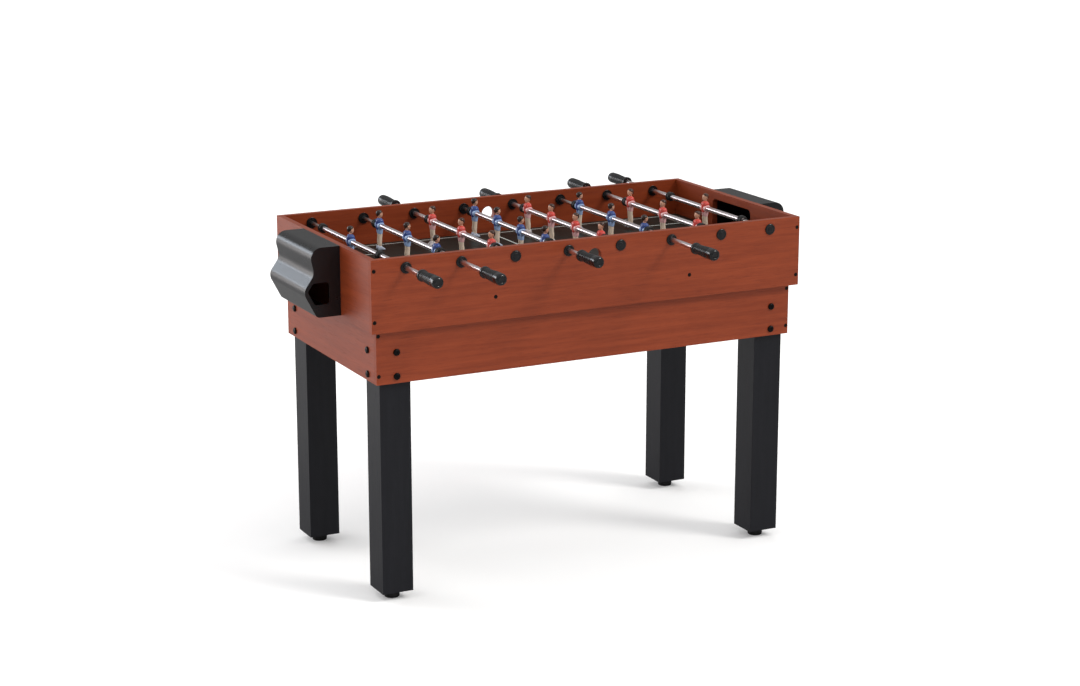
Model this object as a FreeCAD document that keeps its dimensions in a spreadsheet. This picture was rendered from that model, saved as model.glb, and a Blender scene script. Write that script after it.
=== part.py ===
import FreeCAD, Part

import os
import re

import Sketcher

# A four-foot foosball table. Millimetres, +Z up, +X along the table, -Y towards the front side.
# The origin is on the floor, under the middle of the table.
#
# The upper box (two long side panels, two end panels) sits over an inset apron on four legs.
# Eight telescopic rods run across the box: a tube with the men, bumpers and handle slides over an
# inner rod that a blind cap holds in the opposite side panel.

SIZES = [
    ("table_height", 858, "floor to the rim of the box"),
    ("box_length", 1180, "upper box, outside"),
    ("box_width", 616, "upper box, outside"),
    ("box_height", 177, "height of the box panels"),
    ("panel_thick", 15, "box panels"),
    ("field_depth", 95, "rim to the playing surface"),
    ("field_thick", 12, "playfield board"),
    ("field_gap", 0.5, "gap all round the playfield board"),
    ("ledger_width", 25, "ledger, across"),
    ("ledger_height", 25, "ledger, up"),
    ("ledger_screw_reach", 268, "ledger screws on the long sides, from the middle"),
    ("goal_width", 192, "goal mouth"),
    ("goal_drop", 19.5, "rim to the top of the goal mouth"),
    ("goal_corner", 14, "radius of the goal mouth's upper corners"),
    ("entry_radius", 18.5, "ball-entry hole"),
    ("entry_drop", 44.5, "rim to the middle of the ball-entry hole"),
    ("apron_gap", 2, "box panel to apron rail, inside"),
    ("apron_thick", 12, "apron rails"),
    ("apron_show", 130, "height of apron that shows under the box"),
    ("leg_side", 80, "square leg"),
    ("leg_top_gap", 10, "top of the leg below the top of the apron"),
    ("foot_height", 21, "floor to the bottom of the leg"),
    ("foot_radius", 19, "levelling foot"),
    ("foot_pad_height", 18, "pad of the levelling foot"),
    ("foot_round", 5, "rounding of the foot's edges"),
    ("stem_radius", 5, "threaded stem of the levelling foot"),
    ("stem_length", 40, "stem inside the leg"),
    ("stem_spare", 5, "bore above the stem"),
    ("slip", 0.05, "radial clearance of pieces that are pushed together"),
    ("goalie_gap", 73.8, "end panel to the axis of the first rod"),
    ("rod_drop", 25, "rim to the rod axis"),
    ("rod_radius", 6.35, "rod tube, outside"),
    ("tube_wall", 1.2, "rod tube"),
    ("inner_rod_radius", 4.7, "inner rod"),
    ("rod_overlap", 60, "inner rod left in the tube when a goalie rod is pulled right out"),
    ("rod_clear", 0.08, "radial clearance of a rod in its bushing"),
    ("flange_radius", 14, "bushings, blind caps and ring nuts"),
    ("flange_thick", 4, "outer flange of bushings and blind caps"),
    ("flange_round", 1.5, "rounding of the outer flange"),
    ("barrel_radius", 9, "barrel of bushings and blind caps"),
    ("nut_thick", 5, "ring nuts"),
    ("nut_round", 1, "rounding of the ring nuts"),
    ("bumper_radius", 12, "rubber bumpers"),
    ("bumper_length", 15, "rubber bumpers"),
    ("bumper_clear", 0.25, "radial clearance of a bumper on its rod"),
    ("bumper_round", 2, "rounding of the bumpers"),
    ("slide_goalie", 95.5, "slide of a goalie rod, each way from centred"),
    ("slide_three", 84, "slide of a three-man rod, each way from centred"),
    ("slide_four", 56, "slide of a four-man rod, each way from centred"),
    ("man_width", 26, "shoulders and hub of a man, along the rod"),
    ("man_depth", 20, "chest of a man"),
    ("shoulder_rise", 16, "rod axis to the shoulders"),
    ("hub_drop", 15, "rod axis to the bottom of the jersey"),
    ("head_rise", 39, "rod axis to the top of the head"),
    ("head_radius", 9.5, "head"),
    ("neck_radius", 4.5, "neck"),
    ("leg_width", 18, "joined legs of a man, along the rod"),
    ("leg_depth", 11, "joined legs of a man"),
    ("boot_width", 21, "boots, along the rod"),
    ("boot_height", 16, "boots"),
    ("boot_heel", 8, "boots behind the rod axis"),
    ("boot_toe", 12, "boots in front of the rod axis"),
    ("boot_clear", 5, "boots to the playing surface"),
    ("handle_length", 95, "handles"),
    ("handle_collar", 14.5, "radius of the collar at the inner end"),
    ("handle_waist", 12.5, "radius of the grip's waist"),
    ("handle_end", 14.5, "radius at the outer end"),
    ("collar_length", 7.6, "collar of a handle"),
    ("waist_start", 15.2, "inner end of a handle to its waist"),
    ("swell_start", 68.4, "inner end of a handle to its full outer thickness"),
    ("handle_round", 6, "rounding of the outer end"),
    ("socket_depth", 80, "rod tube inside the handle"),
    ("ball_box_width", 236, "ball box, across"),
    ("ball_box_wall", 3, "ball box"),
    ("ball_box_drop", 0, "rim to the top of the ball box"),
    ("upper_reach", 81, "corner of the upper bulge, out from the end panel"),
    ("waist_reach", 66, "corner of the waist, out from the end panel"),
    ("waist_drop", 64, "corner of the waist, below the top of the ball box"),
    ("lower_reach", 96, "corner of the lower bulge, out from the end panel"),
    ("lower_drop", 106, "corner of the lower bulge, below the top of the ball box"),
    ("bottom_reach", 62, "bottom of the ball box, out from the end panel"),
    ("ball_box_height", 171, "ball box, top to bottom"),
    ("upper_round", 27, "rounding of the upper bulge"),
    ("waist_round", 31, "rounding of the waist"),
    ("lower_round", 26, "rounding of the lower bulge"),
    ("bottom_round", 12, "rounding of the bottom edge"),
    ("hand_top", 86, "top of the ball box to the top of its side opening"),
    ("hand_bottom", 140, "top of the ball box to the sill of its side opening"),
    ("hand_rim", 12, "wall left round the side opening"),
    ("hand_back", 30, "end panel to the side opening"),
    ("hand_round", 8, "rounding of the side opening"),
    ("strip_width", 19, "fixing strips of the ball box"),
    ("strip_thick", 3, "fixing strips of the ball box"),
    ("box_screw_inset", 10, "ball box screws, in from its side wall"),
    ("box_screw_upper", 30, "ball box screws below its top, upper"),
    ("box_screw_lower", 155, "ball box screws below its top, lower"),
    ("box_screw_radius", 2, "ball box screws"),
    ("box_screw_bite", 12, "ball box screws in the end panel"),
    ("box_screw_head", 4, "head radius of the ball box screws"),
    ("box_screw_head_thick", 2.5, "heads of the ball box screws"),
    ("screw_radius", 2, "corner and ledger screws"),
    ("screw_head", 5, "head radius of the corner and ledger screws"),
    ("screw_sink", 3, "depth of the countersunk heads"),
    ("screw_bite", 30, "corner screws beyond the board they pass through"),
    ("ledger_bite", 20, "ledger screws beyond the board they pass through"),
    ("box_screw_rim", 27, "corner screws of the box, from its rim and from its lower edge"),
    ("apron_screw_top", 11, "upper corner screws of the apron, below the box"),
    ("apron_screw_base", 21, "lower corner screws of the apron, from its lower edge"),
    ("bolt_radius", 4, "leg bolts"),
    ("bolt_head", 8.5, "head radius of the leg bolts"),
    ("bolt_head_thick", 5, "heads of the leg bolts"),
    ("bolt_round", 2, "rounding of the leg bolt heads"),
    ("bolt_bite", 30, "leg bolts in the leg"),
    ("bolt_low", 17, "lower leg bolts, from the lower edge of the apron"),
    ("bolt_pitch", 59, "leg bolts, one above the other"),
]

# Rods from left to right: name, which side the handle is on, men, shift from centred at rest towards
# the rear, and room left between handle and bushing when the rod is pushed right in.
FRONT = -1
REAR = 1
RODS = [
    ("blue_goalie", FRONT, 1, 30, 22.5),
    ("blue_defence", FRONT, 3, 10, 49),
    ("red_attack", REAR, 3, 0, 16),
    ("blue_midfield", FRONT, 4, 21, 25),
    ("red_midfield", REAR, 4, -3, 14),
    ("blue_attack", FRONT, 3, 4, 32),
    ("red_defence", REAR, 3, -15, 28),
    ("red_goalie", REAR, 1, 11, 16.5),
]
SLIDES = {1: "slide_goalie", 3: "slide_three", 4: "slide_four"}

# Places worked out from the sizes.
SEAM = "(table_height - box_height)"
FIELD_TOP = "(table_height - field_depth)"
LEDGER_TOP = "(table_height - field_depth - field_thick)"
LEDGER_MIDDLE = "(table_height - field_depth - field_thick - ledger_height / 2)"
APRON_TOP = "(table_height - field_depth - field_thick - ledger_height)"
APRON_BASE = "(table_height - box_height - apron_show)"
INSIDE_X = "(box_length / 2 - panel_thick)"
INSIDE_Y = "(box_width / 2 - panel_thick)"
APRON_X = "(box_length / 2 - panel_thick - apron_gap)"
APRON_Y = "(box_width / 2 - panel_thick - apron_gap)"
LEG_X = "(box_length / 2 - panel_thick - apron_gap - apron_thick - leg_side / 2)"
LEG_Y = "(box_width / 2 - panel_thick - apron_gap - apron_thick - leg_side / 2)"
AXIS_Z = "(table_height - rod_drop)"
ROD_PITCH = f"((box_length - 2 * panel_thick - 2 * goalie_gap) / {len(RODS) - 1})"
CLEAR_HALF = "(box_width / 2 - panel_thick - nut_thick)"
FOOT_DROP = "(field_depth - rod_drop - boot_clear)"
BALL_BOX_TOP = "(table_height - ball_box_drop)"
INNER_ROD_TIP = "(box_width / 2 - panel_thick - nut_thick - 2 * slide_goalie - rod_overlap)"
INNER_ROD_LENGTH = "(panel_thick + nut_thick + 2 * slide_goalie + rod_overlap)"

doc = FreeCAD.newDocument("FoosballTable")
sheet = doc.addObject("Spreadsheet::Sheet", "Sizes")
aliases = set()
nodes = []
masters = {}


# ---------------------------------------------------------------- sizes and bindings

def fill_sheet():
    rows = list(SIZES)
    for number, (name, side, men, shift, gap) in enumerate(RODS, 1):
        rows.append((f"{name}_shift", shift, f"rod {number}, shift from centred at rest"))
        rows.append((f"{name}_gap", gap, f"rod {number}, handle to bushing when pushed in"))
    for row, (alias, value, meaning) in enumerate(rows, 1):
        sheet.set(f"A{row}", alias)
        sheet.set(f"B{row}", str(value))
        sheet.set(f"C{row}", meaning)
        sheet.setAlias(f"B{row}", alias)
        aliases.add(alias)
    doc.recompute()


def formula(text):
    """The expression with each size's name pointed at its cell."""
    def cell(match):
        word = match.group()
        return f"Sizes.{word}" if word in aliases else word
    return re.sub(r"[a-z_]+", cell, str(text))


def size(text):
    """The number that an expression in the sizes comes to now."""
    return float(sheet.evalExpression(formula(text)))


def bind(target, prop, text):
    target.setExpression(prop, formula(text))


def place(target, x, y, z, turn=None):
    if turn is not None:
        target.Placement = FreeCAD.Placement(FreeCAD.Vector(), turn)
    for key, text in (("x", x), ("y", y), ("z", z)):
        bind(target, f"Placement.Base.{key}", text)


def turn_about(axis, degrees):
    return FreeCAD.Rotation(FreeCAD.Vector(*axis), degrees)


TO_FRONT = turn_about((1, 0, 0), 90)
TO_REAR = turn_about((1, 0, 0), -90)
TO_LEFT = turn_about((0, 1, 0), -90)
TO_RIGHT = turn_about((0, 1, 0), 90)
OUTWARD_Y = {FRONT: TO_FRONT, REAR: TO_REAR}
OUTWARD_X = {-1: TO_LEFT, 1: TO_RIGHT}
SIDES = (-1, 1)


def node(target, name):
    """Marks a finished sub-part, which is written to a file of its own."""
    target.Label = name
    nodes.append(target)
    return target


# ---------------------------------------------------------------- primitives and booleans

def block(name, low, high):
    """A box between two corners, each three expressions."""
    item = doc.addObject("Part::Box", name)
    for prop, start, end in zip(("Length", "Width", "Height"), low, high):
        bind(item, prop, f"({end}) - ({start})")
    place(item, *low)
    return item


def drum(name, radius, length, at, turn=None):
    item = doc.addObject("Part::Cylinder", name)
    bind(item, "Radius", radius)
    bind(item, "Height", length)
    place(item, *at, turn)
    return item


def joined(name, items):
    item = doc.addObject("Part::MultiFuse", name)
    item.Shapes = items
    return item


def group(name, items):
    item = doc.addObject("Part::Compound", name)
    item.Links = items
    return item


def drilled(name, base, tools):
    item = doc.addObject("Part::Cut", name)
    item.Base = base
    item.Tool = tools[0] if len(tools) == 1 else group(f"{name}_tools", tools)
    return item


def copy_of(master, name, at, turn=None):
    item = doc.addObject("App::Link", name)
    item.LinkedObject = master
    item.LinkTransform = False
    place(item, *at, turn)
    return item


# ---------------------------------------------------------------- sketched bodies

def origin_plane(body, role):
    return next(item for item in body.Origin.OriginFeatures if item.Role == role)


def fix_point(sketch, geometry, point, x, y):
    """Holds a point of the sketch at two expressions from the sketch's origin."""
    origin = (-1, 1)
    corner = (geometry, point)
    for kind, axis, text in (("DistanceX", -2, x), ("DistanceY", -1, y)):
        value = size(text)
        if value == 0:
            sketch.addConstraint(Sketcher.Constraint("PointOnObject", *corner, axis))
            continue
        ends = (*origin, *corner) if value > 0 else (*corner, *origin)
        number = sketch.addConstraint(Sketcher.Constraint(kind, *ends, abs(value)))
        bind(sketch, f"Constraints[{number}]", text if value > 0 else f"-({text})")


def outline(body, name, role, corners):
    """A closed outline of straight sides through corners given as pairs of expressions."""
    sketch = body.newObject("Sketcher::SketchObject", name)
    sketch.AttachmentSupport = [(origin_plane(body, role), "")]
    sketch.MapMode = "FlatFace"
    places = [FreeCAD.Vector(size(x), size(y), 0) for x, y in corners]
    count = len(corners)
    for index in range(count):
        sketch.addGeometry(Part.LineSegment(places[index], places[(index + 1) % count]))
    for index in range(count):
        after = (index + 1) % count
        sketch.addConstraint(Sketcher.Constraint("Coincident", index, 2, after, 1))
    for index, (x, y) in enumerate(corners):
        fix_point(sketch, index, 1, x, y)
    return sketch


def new_body(name):
    return doc.addObject("PartDesign::Body", name)


def rounded(body, name, radius, wanted):
    """Rounds the edges of the body so far for which wanted(edge) is true."""
    doc.recompute()
    base = body.Tip
    edges = [f"Edge{number}" for number, edge in enumerate(base.Shape.Edges, 1) if wanted(edge)]
    fillet = body.newObject("PartDesign::Fillet", name)
    fillet.Base = (base, edges)
    bind(fillet, "Radius", radius)
    return fillet


def turned(name, corners):
    """A round body about its own Z axis, from corners given as (radius, height)."""
    body = new_body(name)
    sketch = outline(body, f"{name}_profile", "XZ_Plane", corners)
    spin = body.newObject("PartDesign::Revolution", f"{name}_turning")
    spin.Profile = sketch
    spin.ReferenceAxis = (sketch, ["V_Axis"])
    spin.Angle = 360
    return body


def ring_edge(radius, height):
    """Tells whether an edge is the circle of that radius at that height."""
    def wanted(edge):
        curve = edge.Curve
        if not isinstance(curve, Part.Circle):
            return False
        return abs(curve.Radius - size(radius)) < 1e-4 and abs(curve.Center.z - size(height)) < 1e-4
    return wanted


def upright_at(x, z):
    """Tells whether an edge runs along Y through that place."""
    def wanted(edge):
        if not isinstance(edge.Curve, Part.Line):
            return False
        ends = [vertex.Point for vertex in edge.Vertexes]
        return all(abs(end.x - size(x)) < 1e-4 and abs(end.z - size(z)) < 1e-4 for end in ends)
    return wanted


# ---------------------------------------------------------------- cabinet

def rod_x(index):
    return f"({index - (len(RODS) - 1) / 2} * {ROD_PITCH})"


def side_panel(name, side):
    """A long side panel with its eight rod holes, ball-entry hole and screw holes."""
    near = f"{side} * box_width / 2"
    low_y = near if side < 0 else INSIDE_Y
    high_y = f"-{INSIDE_Y}" if side < 0 else near
    board = block(f"{name}_board", ("-box_length / 2", low_y, SEAM),
                  ("box_length / 2", high_y, "table_height"))
    turn = OUTWARD_Y[side]
    inward = OUTWARD_Y[-side]
    inner_y = f"{side} * {INSIDE_Y}"
    tools = []
    for index in range(len(RODS)):
        tools.append(drum(f"{name}_rod_hole_{index + 1}", "barrel_radius + slip", "panel_thick",
                          (rod_x(index), inner_y, AXIS_Z), turn))
    tools.append(drum(f"{name}_entry_hole", "entry_radius", "panel_thick",
                      ("0", inner_y, "table_height - entry_drop"), turn))
    for end in SIDES:
        for level, z in enumerate(box_screw_levels()):
            at = (f"{end} * (box_length - panel_thick) / 2", near, z)
            tools.append(copy_of(masters["panel_drill"], f"{name}_corner_drill_{end + 1}_{level}",
                                 at, inward))
        at = (f"{end} * ledger_screw_reach", near, LEDGER_MIDDLE)
        tools.append(copy_of(masters["panel_drill"], f"{name}_ledger_drill_{end + 1}", at, inward))
    return node(drilled(name, board, tools), name)


def box_screw_levels():
    return ("table_height - box_screw_rim", f"{SEAM} + box_screw_rim")


def end_panel(name, side):
    """An end panel between the long ones, with the goal mouth down to the playing surface."""
    low_x = "-box_length / 2" if side < 0 else INSIDE_X
    high_x = f"-{INSIDE_X}" if side < 0 else "box_length / 2"
    board = block(f"{name}_board", (low_x, f"-{INSIDE_Y}", SEAM),
                  (high_x, INSIDE_Y, "table_height"))
    tools = [goal_mouth(name, low_x, high_x)]
    near = f"{side} * box_length / 2"
    for end in SIDES:
        for level, z in enumerate(box_screw_levels()):
            at = (f"{side} * (box_length - panel_thick) / 2", f"{end} * {INSIDE_Y}", z)
            tools.append(drum(f"{name}_edge_bore_{end + 1}_{level}", "screw_radius + slip",
                              "screw_bite + slip", at, OUTWARD_Y[-end]))
        for level, drop in enumerate(("box_screw_upper", "box_screw_lower")):
            at = (near, f"{end} * (ball_box_width / 2 - box_screw_inset)",
                  f"{BALL_BOX_TOP} - {drop}")
            tools.append(drum(f"{name}_box_bore_{end + 1}_{level}", "box_screw_radius + slip",
                              "box_screw_bite + slip", at, OUTWARD_X[-side]))
    return node(drilled(name, board, tools), name)


def goal_mouth(name, low_x, high_x):
    """The solid that is taken away for a goal mouth, with rounded upper corners."""
    half = "goal_width / 2"
    top = "table_height - goal_drop"
    lower = block(f"{name}_mouth_lower", (low_x, f"-{half}", FIELD_TOP),
                  (high_x, half, f"{top} - goal_corner"))
    upper = block(f"{name}_mouth_upper", (low_x, f"-({half} - goal_corner)", FIELD_TOP),
                  (high_x, f"{half} - goal_corner", top))
    corners = []
    for end in SIDES:
        at = (low_x, f"{end} * ({half} - goal_corner)", f"{top} - goal_corner")
        corners.append(drum(f"{name}_mouth_corner_{end + 1}", "goal_corner", "panel_thick",
                            at, TO_RIGHT))
    return joined(f"{name}_mouth", [lower, upper, *corners])


def playfield():
    return node(block("playfield", (f"-({INSIDE_X} - field_gap)", f"-({INSIDE_Y} - field_gap)",
                                    LEDGER_TOP),
                      (f"{INSIDE_X} - field_gap", f"{INSIDE_Y} - field_gap", FIELD_TOP)),
                "playfield")


def field_ledgers():
    """Four square cleats inside the box: long ones on the side panels, short ones between them."""
    pieces = []
    levels = (APRON_TOP, LEDGER_TOP)
    for side in SIDES:
        far, near = f"{side} * {INSIDE_Y}", f"{side} * ({INSIDE_Y} - ledger_width)"
        low_y, high_y = (far, near) if side < 0 else (near, far)
        cleat = block(f"long_ledger_{side + 1}", (f"-{INSIDE_X}", low_y, levels[0]),
                      (INSIDE_X, high_y, levels[1]))
        bores = []
        for end in SIDES:
            at = (f"{end} * ledger_screw_reach", far, LEDGER_MIDDLE)
            bores.append(drum(f"long_ledger_bore_{side + 1}_{end + 1}", "screw_radius + slip",
                              "ledger_bite + slip", at, OUTWARD_Y[-side]))
        pieces.append(drilled(f"long_ledger_drilled_{side + 1}", cleat, bores))
        far, near = f"{side} * {INSIDE_X}", f"{side} * ({INSIDE_X} - ledger_width)"
        low_x, high_x = (far, near) if side < 0 else (near, far)
        pieces.append(block(f"short_ledger_{side + 1}",
                            (low_x, f"-({INSIDE_Y} - ledger_width)", levels[0]),
                            (high_x, f"{INSIDE_Y} - ledger_width", levels[1])))
    return node(group("field_ledgers", pieces), "field_ledgers")


# ---------------------------------------------------------------- apron, legs and feet

def bolt_levels():
    return (f"{APRON_BASE} + bolt_low", f"{APRON_BASE} + bolt_low + bolt_pitch")


def apron_screw_levels():
    return (f"{SEAM} - apron_screw_top", f"{APRON_BASE} + apron_screw_base")


def long_rail(name, side):
    """A long apron rail, over the ends of the short ones."""
    far, near = f"{side} * {APRON_Y}", f"{side} * ({APRON_Y} - apron_thick)"
    low_y, high_y = (far, near) if side < 0 else (near, far)
    board = block(f"{name}_board", (f"-{APRON_X}", low_y, APRON_BASE), (APRON_X, high_y, APRON_TOP))
    tools = []
    for end in SIDES:
        for level, z in enumerate(apron_screw_levels()):
            at = (f"{end} * ({APRON_X} - apron_thick / 2)", far, z)
            tools.append(copy_of(masters["rail_drill"], f"{name}_corner_drill_{end + 1}_{level}",
                                 at, OUTWARD_Y[-side]))
        for level, z in enumerate(bolt_levels()):
            at = (f"{end} * {LEG_X}", near, z)
            tools.append(drum(f"{name}_bolt_hole_{end + 1}_{level}", "bolt_radius + slip",
                              "apron_thick", at, OUTWARD_Y[side]))
    return node(drilled(name, board, tools), name)


def short_rail(name, side):
    """A short apron rail, between the long ones."""
    far, near = f"{side} * {APRON_X}", f"{side} * ({APRON_X} - apron_thick)"
    low_x, high_x = (far, near) if side < 0 else (near, far)
    half = f"({APRON_Y} - apron_thick)"
    board = block(f"{name}_board", (low_x, f"-{half}", APRON_BASE), (high_x, half, APRON_TOP))
    tools = []
    for end in SIDES:
        for level, z in enumerate(apron_screw_levels()):
            at = (f"{side} * ({APRON_X} - apron_thick / 2)", f"{end} * {half}", z)
            tools.append(drum(f"{name}_edge_bore_{end + 1}_{level}", "screw_radius + slip",
                              "screw_bite + slip", at, OUTWARD_Y[-end]))
        for level, z in enumerate(bolt_levels()):
            at = (near, f"{end} * {LEG_Y}", z)
            tools.append(drum(f"{name}_bolt_hole_{end + 1}_{level}", "bolt_radius + slip",
                              "apron_thick", at, OUTWARD_X[side]))
    return node(drilled(name, board, tools), name)


def leg(name, end, side):
    """A square leg in a corner of the apron, bored for its bolts and its levelling foot."""
    x, y = f"{end} * {LEG_X}", f"{side} * {LEG_Y}"
    post = block(f"{name}_post", (f"{x} - leg_side / 2", f"{y} - leg_side / 2", "foot_height"),
                 (f"{x} + leg_side / 2", f"{y} + leg_side / 2", f"{APRON_TOP} - leg_top_gap"))
    tools = [drum(f"{name}_stem_bore", "stem_radius + slip", "stem_length + stem_spare",
                  (x, y, "foot_height"))]
    for level, z in enumerate(bolt_levels()):
        tools.append(drum(f"{name}_bore_y_{level}", "bolt_radius + slip", "bolt_bite + slip",
                          (x, f"{side} * ({LEG_Y} + leg_side / 2)", z), OUTWARD_Y[-side]))
        tools.append(drum(f"{name}_bore_x_{level}", "bolt_radius + slip", "bolt_bite + slip",
                          (f"{end} * ({LEG_X} + leg_side / 2)", y, z), OUTWARD_X[-end]))
    return node(drilled(name, post, tools), name)


def foot(name, end, side):
    """A levelling foot: a rounded pad on a threaded stem."""
    body = turned(name, [("0", "0"), ("foot_radius", "0"), ("foot_radius", "foot_pad_height"),
                         ("stem_radius", "foot_pad_height"),
                         ("stem_radius", "foot_height + stem_length"),
                         ("0", "foot_height + stem_length")])
    rounded(body, f"{name}_rounding", "foot_round", ring_edge("foot_radius", "foot_pad_height"))
    place(body, f"{end} * {LEG_X}", f"{side} * {LEG_Y}", "0")
    return node(body, name)


# ---------------------------------------------------------------- ball boxes

def between(start, end, along, low, high):
    """The expression of the value at one place on a straight side of the outline."""
    return f"({start} + ({end} - {start}) * ({along} - {low}) / ({high} - {low}))"


def ball_box(name, side):
    """A moulded shell with a waved front, open towards the goal, with a hand opening at the front
    side of the table."""
    body = new_body(name)
    height = "ball_box_height"
    wave = [("0", "0"), ("bottom_reach", "0"), ("lower_reach", f"{height} - lower_drop"),
            ("waist_reach", f"{height} - waist_drop"), ("upper_reach", height), ("0", height)]
    sketch = outline(body, f"{name}_wave", "XZ_Plane", wave)
    pad = body.newObject("PartDesign::Pad", f"{name}_block")
    pad.Profile = sketch
    pad.SideType = "Symmetric"
    bind(pad, "Length", "ball_box_width")
    for (x, z), radius in zip(wave[1:5], ("bottom_round", "lower_round", "waist_round",
                                          "upper_round")):
        rounded(body, f"{name}_{radius}", radius, upright_at(x, z))
    doc.recompute()
    solid = body.Tip
    back = next(f"Face{number}" for number, face in enumerate(solid.Shape.Faces, 1)
                if abs(face.BoundBox.XMax) < 1e-4)
    shell = body.newObject("PartDesign::Thickness", f"{name}_shell")
    shell.Base = (solid, [back])
    shell.Reversed = True
    bind(shell, "Value", "ball_box_wall")
    hand_opening(body, name, side)
    fixing_strips(body, name)
    turn = turn_about((0, 0, 1), 180 if side < 0 else 0)
    place(body, f"{side} * box_length / 2", "0", f"{BALL_BOX_TOP} - {height}", turn)
    return node(body, name)


def hand_opening(body, name, side):
    """The opening in the wall on the table's front side, where balls are taken out over a sill."""
    upper = between("waist_reach", "lower_reach", "hand_top", "waist_drop", "lower_drop")
    lower = between("lower_reach", "bottom_reach", "hand_bottom", "lower_drop", "ball_box_height")
    top = "ball_box_height - hand_top"
    sill = "ball_box_height - hand_bottom"
    corners = [("hand_back", sill), (f"{lower} - hand_rim", sill),
               ("lower_reach - hand_rim", "ball_box_height - lower_drop"),
               (f"{upper} - hand_rim", top), ("hand_back", top)]
    sketch = outline(body, f"{name}_hand_outline", "XZ_Plane", corners)
    pocket = body.newObject("PartDesign::Pocket", f"{name}_hand_opening")
    pocket.Profile = sketch
    pocket.Reversed = side > 0
    bind(pocket, "Length", "ball_box_width")
    for number, (x, z) in enumerate(corners):
        rounded(body, f"{name}_hand_round_{number}", "hand_round", upright_at(x, z))


def fixing_strips(body, name):
    """Two flat strips along the end panel, drilled for the ball box screws."""
    inner = "(ball_box_width / 2 - strip_width)"
    outer = "(ball_box_width / 2 - ball_box_wall / 2)"
    for end in SIDES:
        tag = "left" if end < 0 else "right"
        low, high = "ball_box_wall / 2", "ball_box_height - ball_box_wall / 2"
        corners = [(f"{end} * {outer}", low), (f"{end} * {inner}", low),
                   (f"{end} * {inner}", high), (f"{end} * {outer}", high)]
        sketch = outline(body, f"{name}_strip_outline_{tag}", "YZ_Plane", corners)
        strip = body.newObject("PartDesign::Pad", f"{name}_strip_{tag}")
        strip.Profile = sketch
        bind(strip, "Length", "strip_thick")
        for level, drop in enumerate(("box_screw_upper", "box_screw_lower")):
            drill_strip(body, f"{name}_screw_hole_{tag}_{level}", end, drop)


def drill_strip(body, name, end, drop):
    sketch = body.newObject("Sketcher::SketchObject", f"{name}_circle")
    sketch.AttachmentSupport = [(origin_plane(body, "YZ_Plane"), "")]
    sketch.MapMode = "FlatFace"
    y, z = f"{end} * (ball_box_width / 2 - box_screw_inset)", f"ball_box_height - {drop}"
    sketch.addGeometry(Part.Circle(FreeCAD.Vector(size(y), size(z), 0), FreeCAD.Vector(0, 0, 1),
                                   size("box_screw_radius + slip")))
    fix_point(sketch, 0, 3, y, z)
    number = sketch.addConstraint(Sketcher.Constraint("Radius", 0, size("box_screw_radius + slip")))
    bind(sketch, f"Constraints[{number}]", "box_screw_radius + slip")
    hole = body.newObject("PartDesign::Pocket", name)
    hole.Profile = sketch
    hole.SideType = "Symmetric"
    bind(hole, "Length", "4 * strip_thick")


# ---------------------------------------------------------------- fasteners

def countersunk(name, head, shank, length):
    """A countersunk screw or drill that points along its own +Z, with its flat head at height 0."""
    return turned(name, [("0", "0"), (head, "0"), (shank, "screw_sink"), (shank, length),
                         ("0", length)])


def headed(name, head, head_thick, shank, length):
    """A screw or bolt that points along its own +Z, from the outer face of its raised head."""
    return turned(name, [("0", "0"), (head, "0"), (head, head_thick), (shank, head_thick),
                         (shank, length), ("0", length)])


def make_masters():
    """The fasteners and drills that are used many times."""
    for name, board, bite in (("panel_screw", "panel_thick", "screw_bite"),
                              ("rail_screw", "apron_thick", "screw_bite"),
                              ("ledger_screw", "panel_thick", "ledger_bite")):
        masters[name] = countersunk(name, "screw_head", "screw_radius", f"{board} + {bite}")
    for name, board in (("panel_drill", "panel_thick"), ("rail_drill", "apron_thick")):
        masters[name] = countersunk(name, "screw_head + slip", "screw_radius + slip", board)
    masters["box_screw"] = headed("box_screw", "box_screw_head", "box_screw_head_thick",
                                  "box_screw_radius",
                                  "box_screw_head_thick + strip_thick + box_screw_bite")
    bolt = headed("leg_bolt", "bolt_head", "bolt_head_thick", "bolt_radius",
                  "bolt_head_thick + apron_thick + bolt_bite")
    rounded(bolt, "leg_bolt_rounding", "bolt_round", ring_edge("bolt_head", "0"))
    masters["leg_bolt"] = bolt


def corner_screws():
    screws = []
    for side in SIDES:
        for end in SIDES:
            for level, z in enumerate(box_screw_levels()):
                at = (f"{end} * (box_length - panel_thick) / 2", f"{side} * box_width / 2", z)
                screws.append(copy_of(masters["panel_screw"],
                                      f"box_corner_screw_{side + 1}_{end + 1}_{level}", at,
                                      OUTWARD_Y[-side]))
            for level, z in enumerate(apron_screw_levels()):
                at = (f"{end} * ({APRON_X} - apron_thick / 2)", f"{side} * {APRON_Y}", z)
                screws.append(copy_of(masters["rail_screw"],
                                      f"apron_corner_screw_{side + 1}_{end + 1}_{level}", at,
                                      OUTWARD_Y[-side]))
    return node(group("corner_screws", screws), "corner_screws")


def ledger_screws():
    screws = []
    for side in SIDES:
        for end in SIDES:
            at = (f"{end} * ledger_screw_reach", f"{side} * box_width / 2", LEDGER_MIDDLE)
            screws.append(copy_of(masters["ledger_screw"], f"ledger_screw_{side + 1}_{end + 1}", at,
                                  OUTWARD_Y[-side]))
    return node(group("ledger_screws", screws), "ledger_screws")


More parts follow.
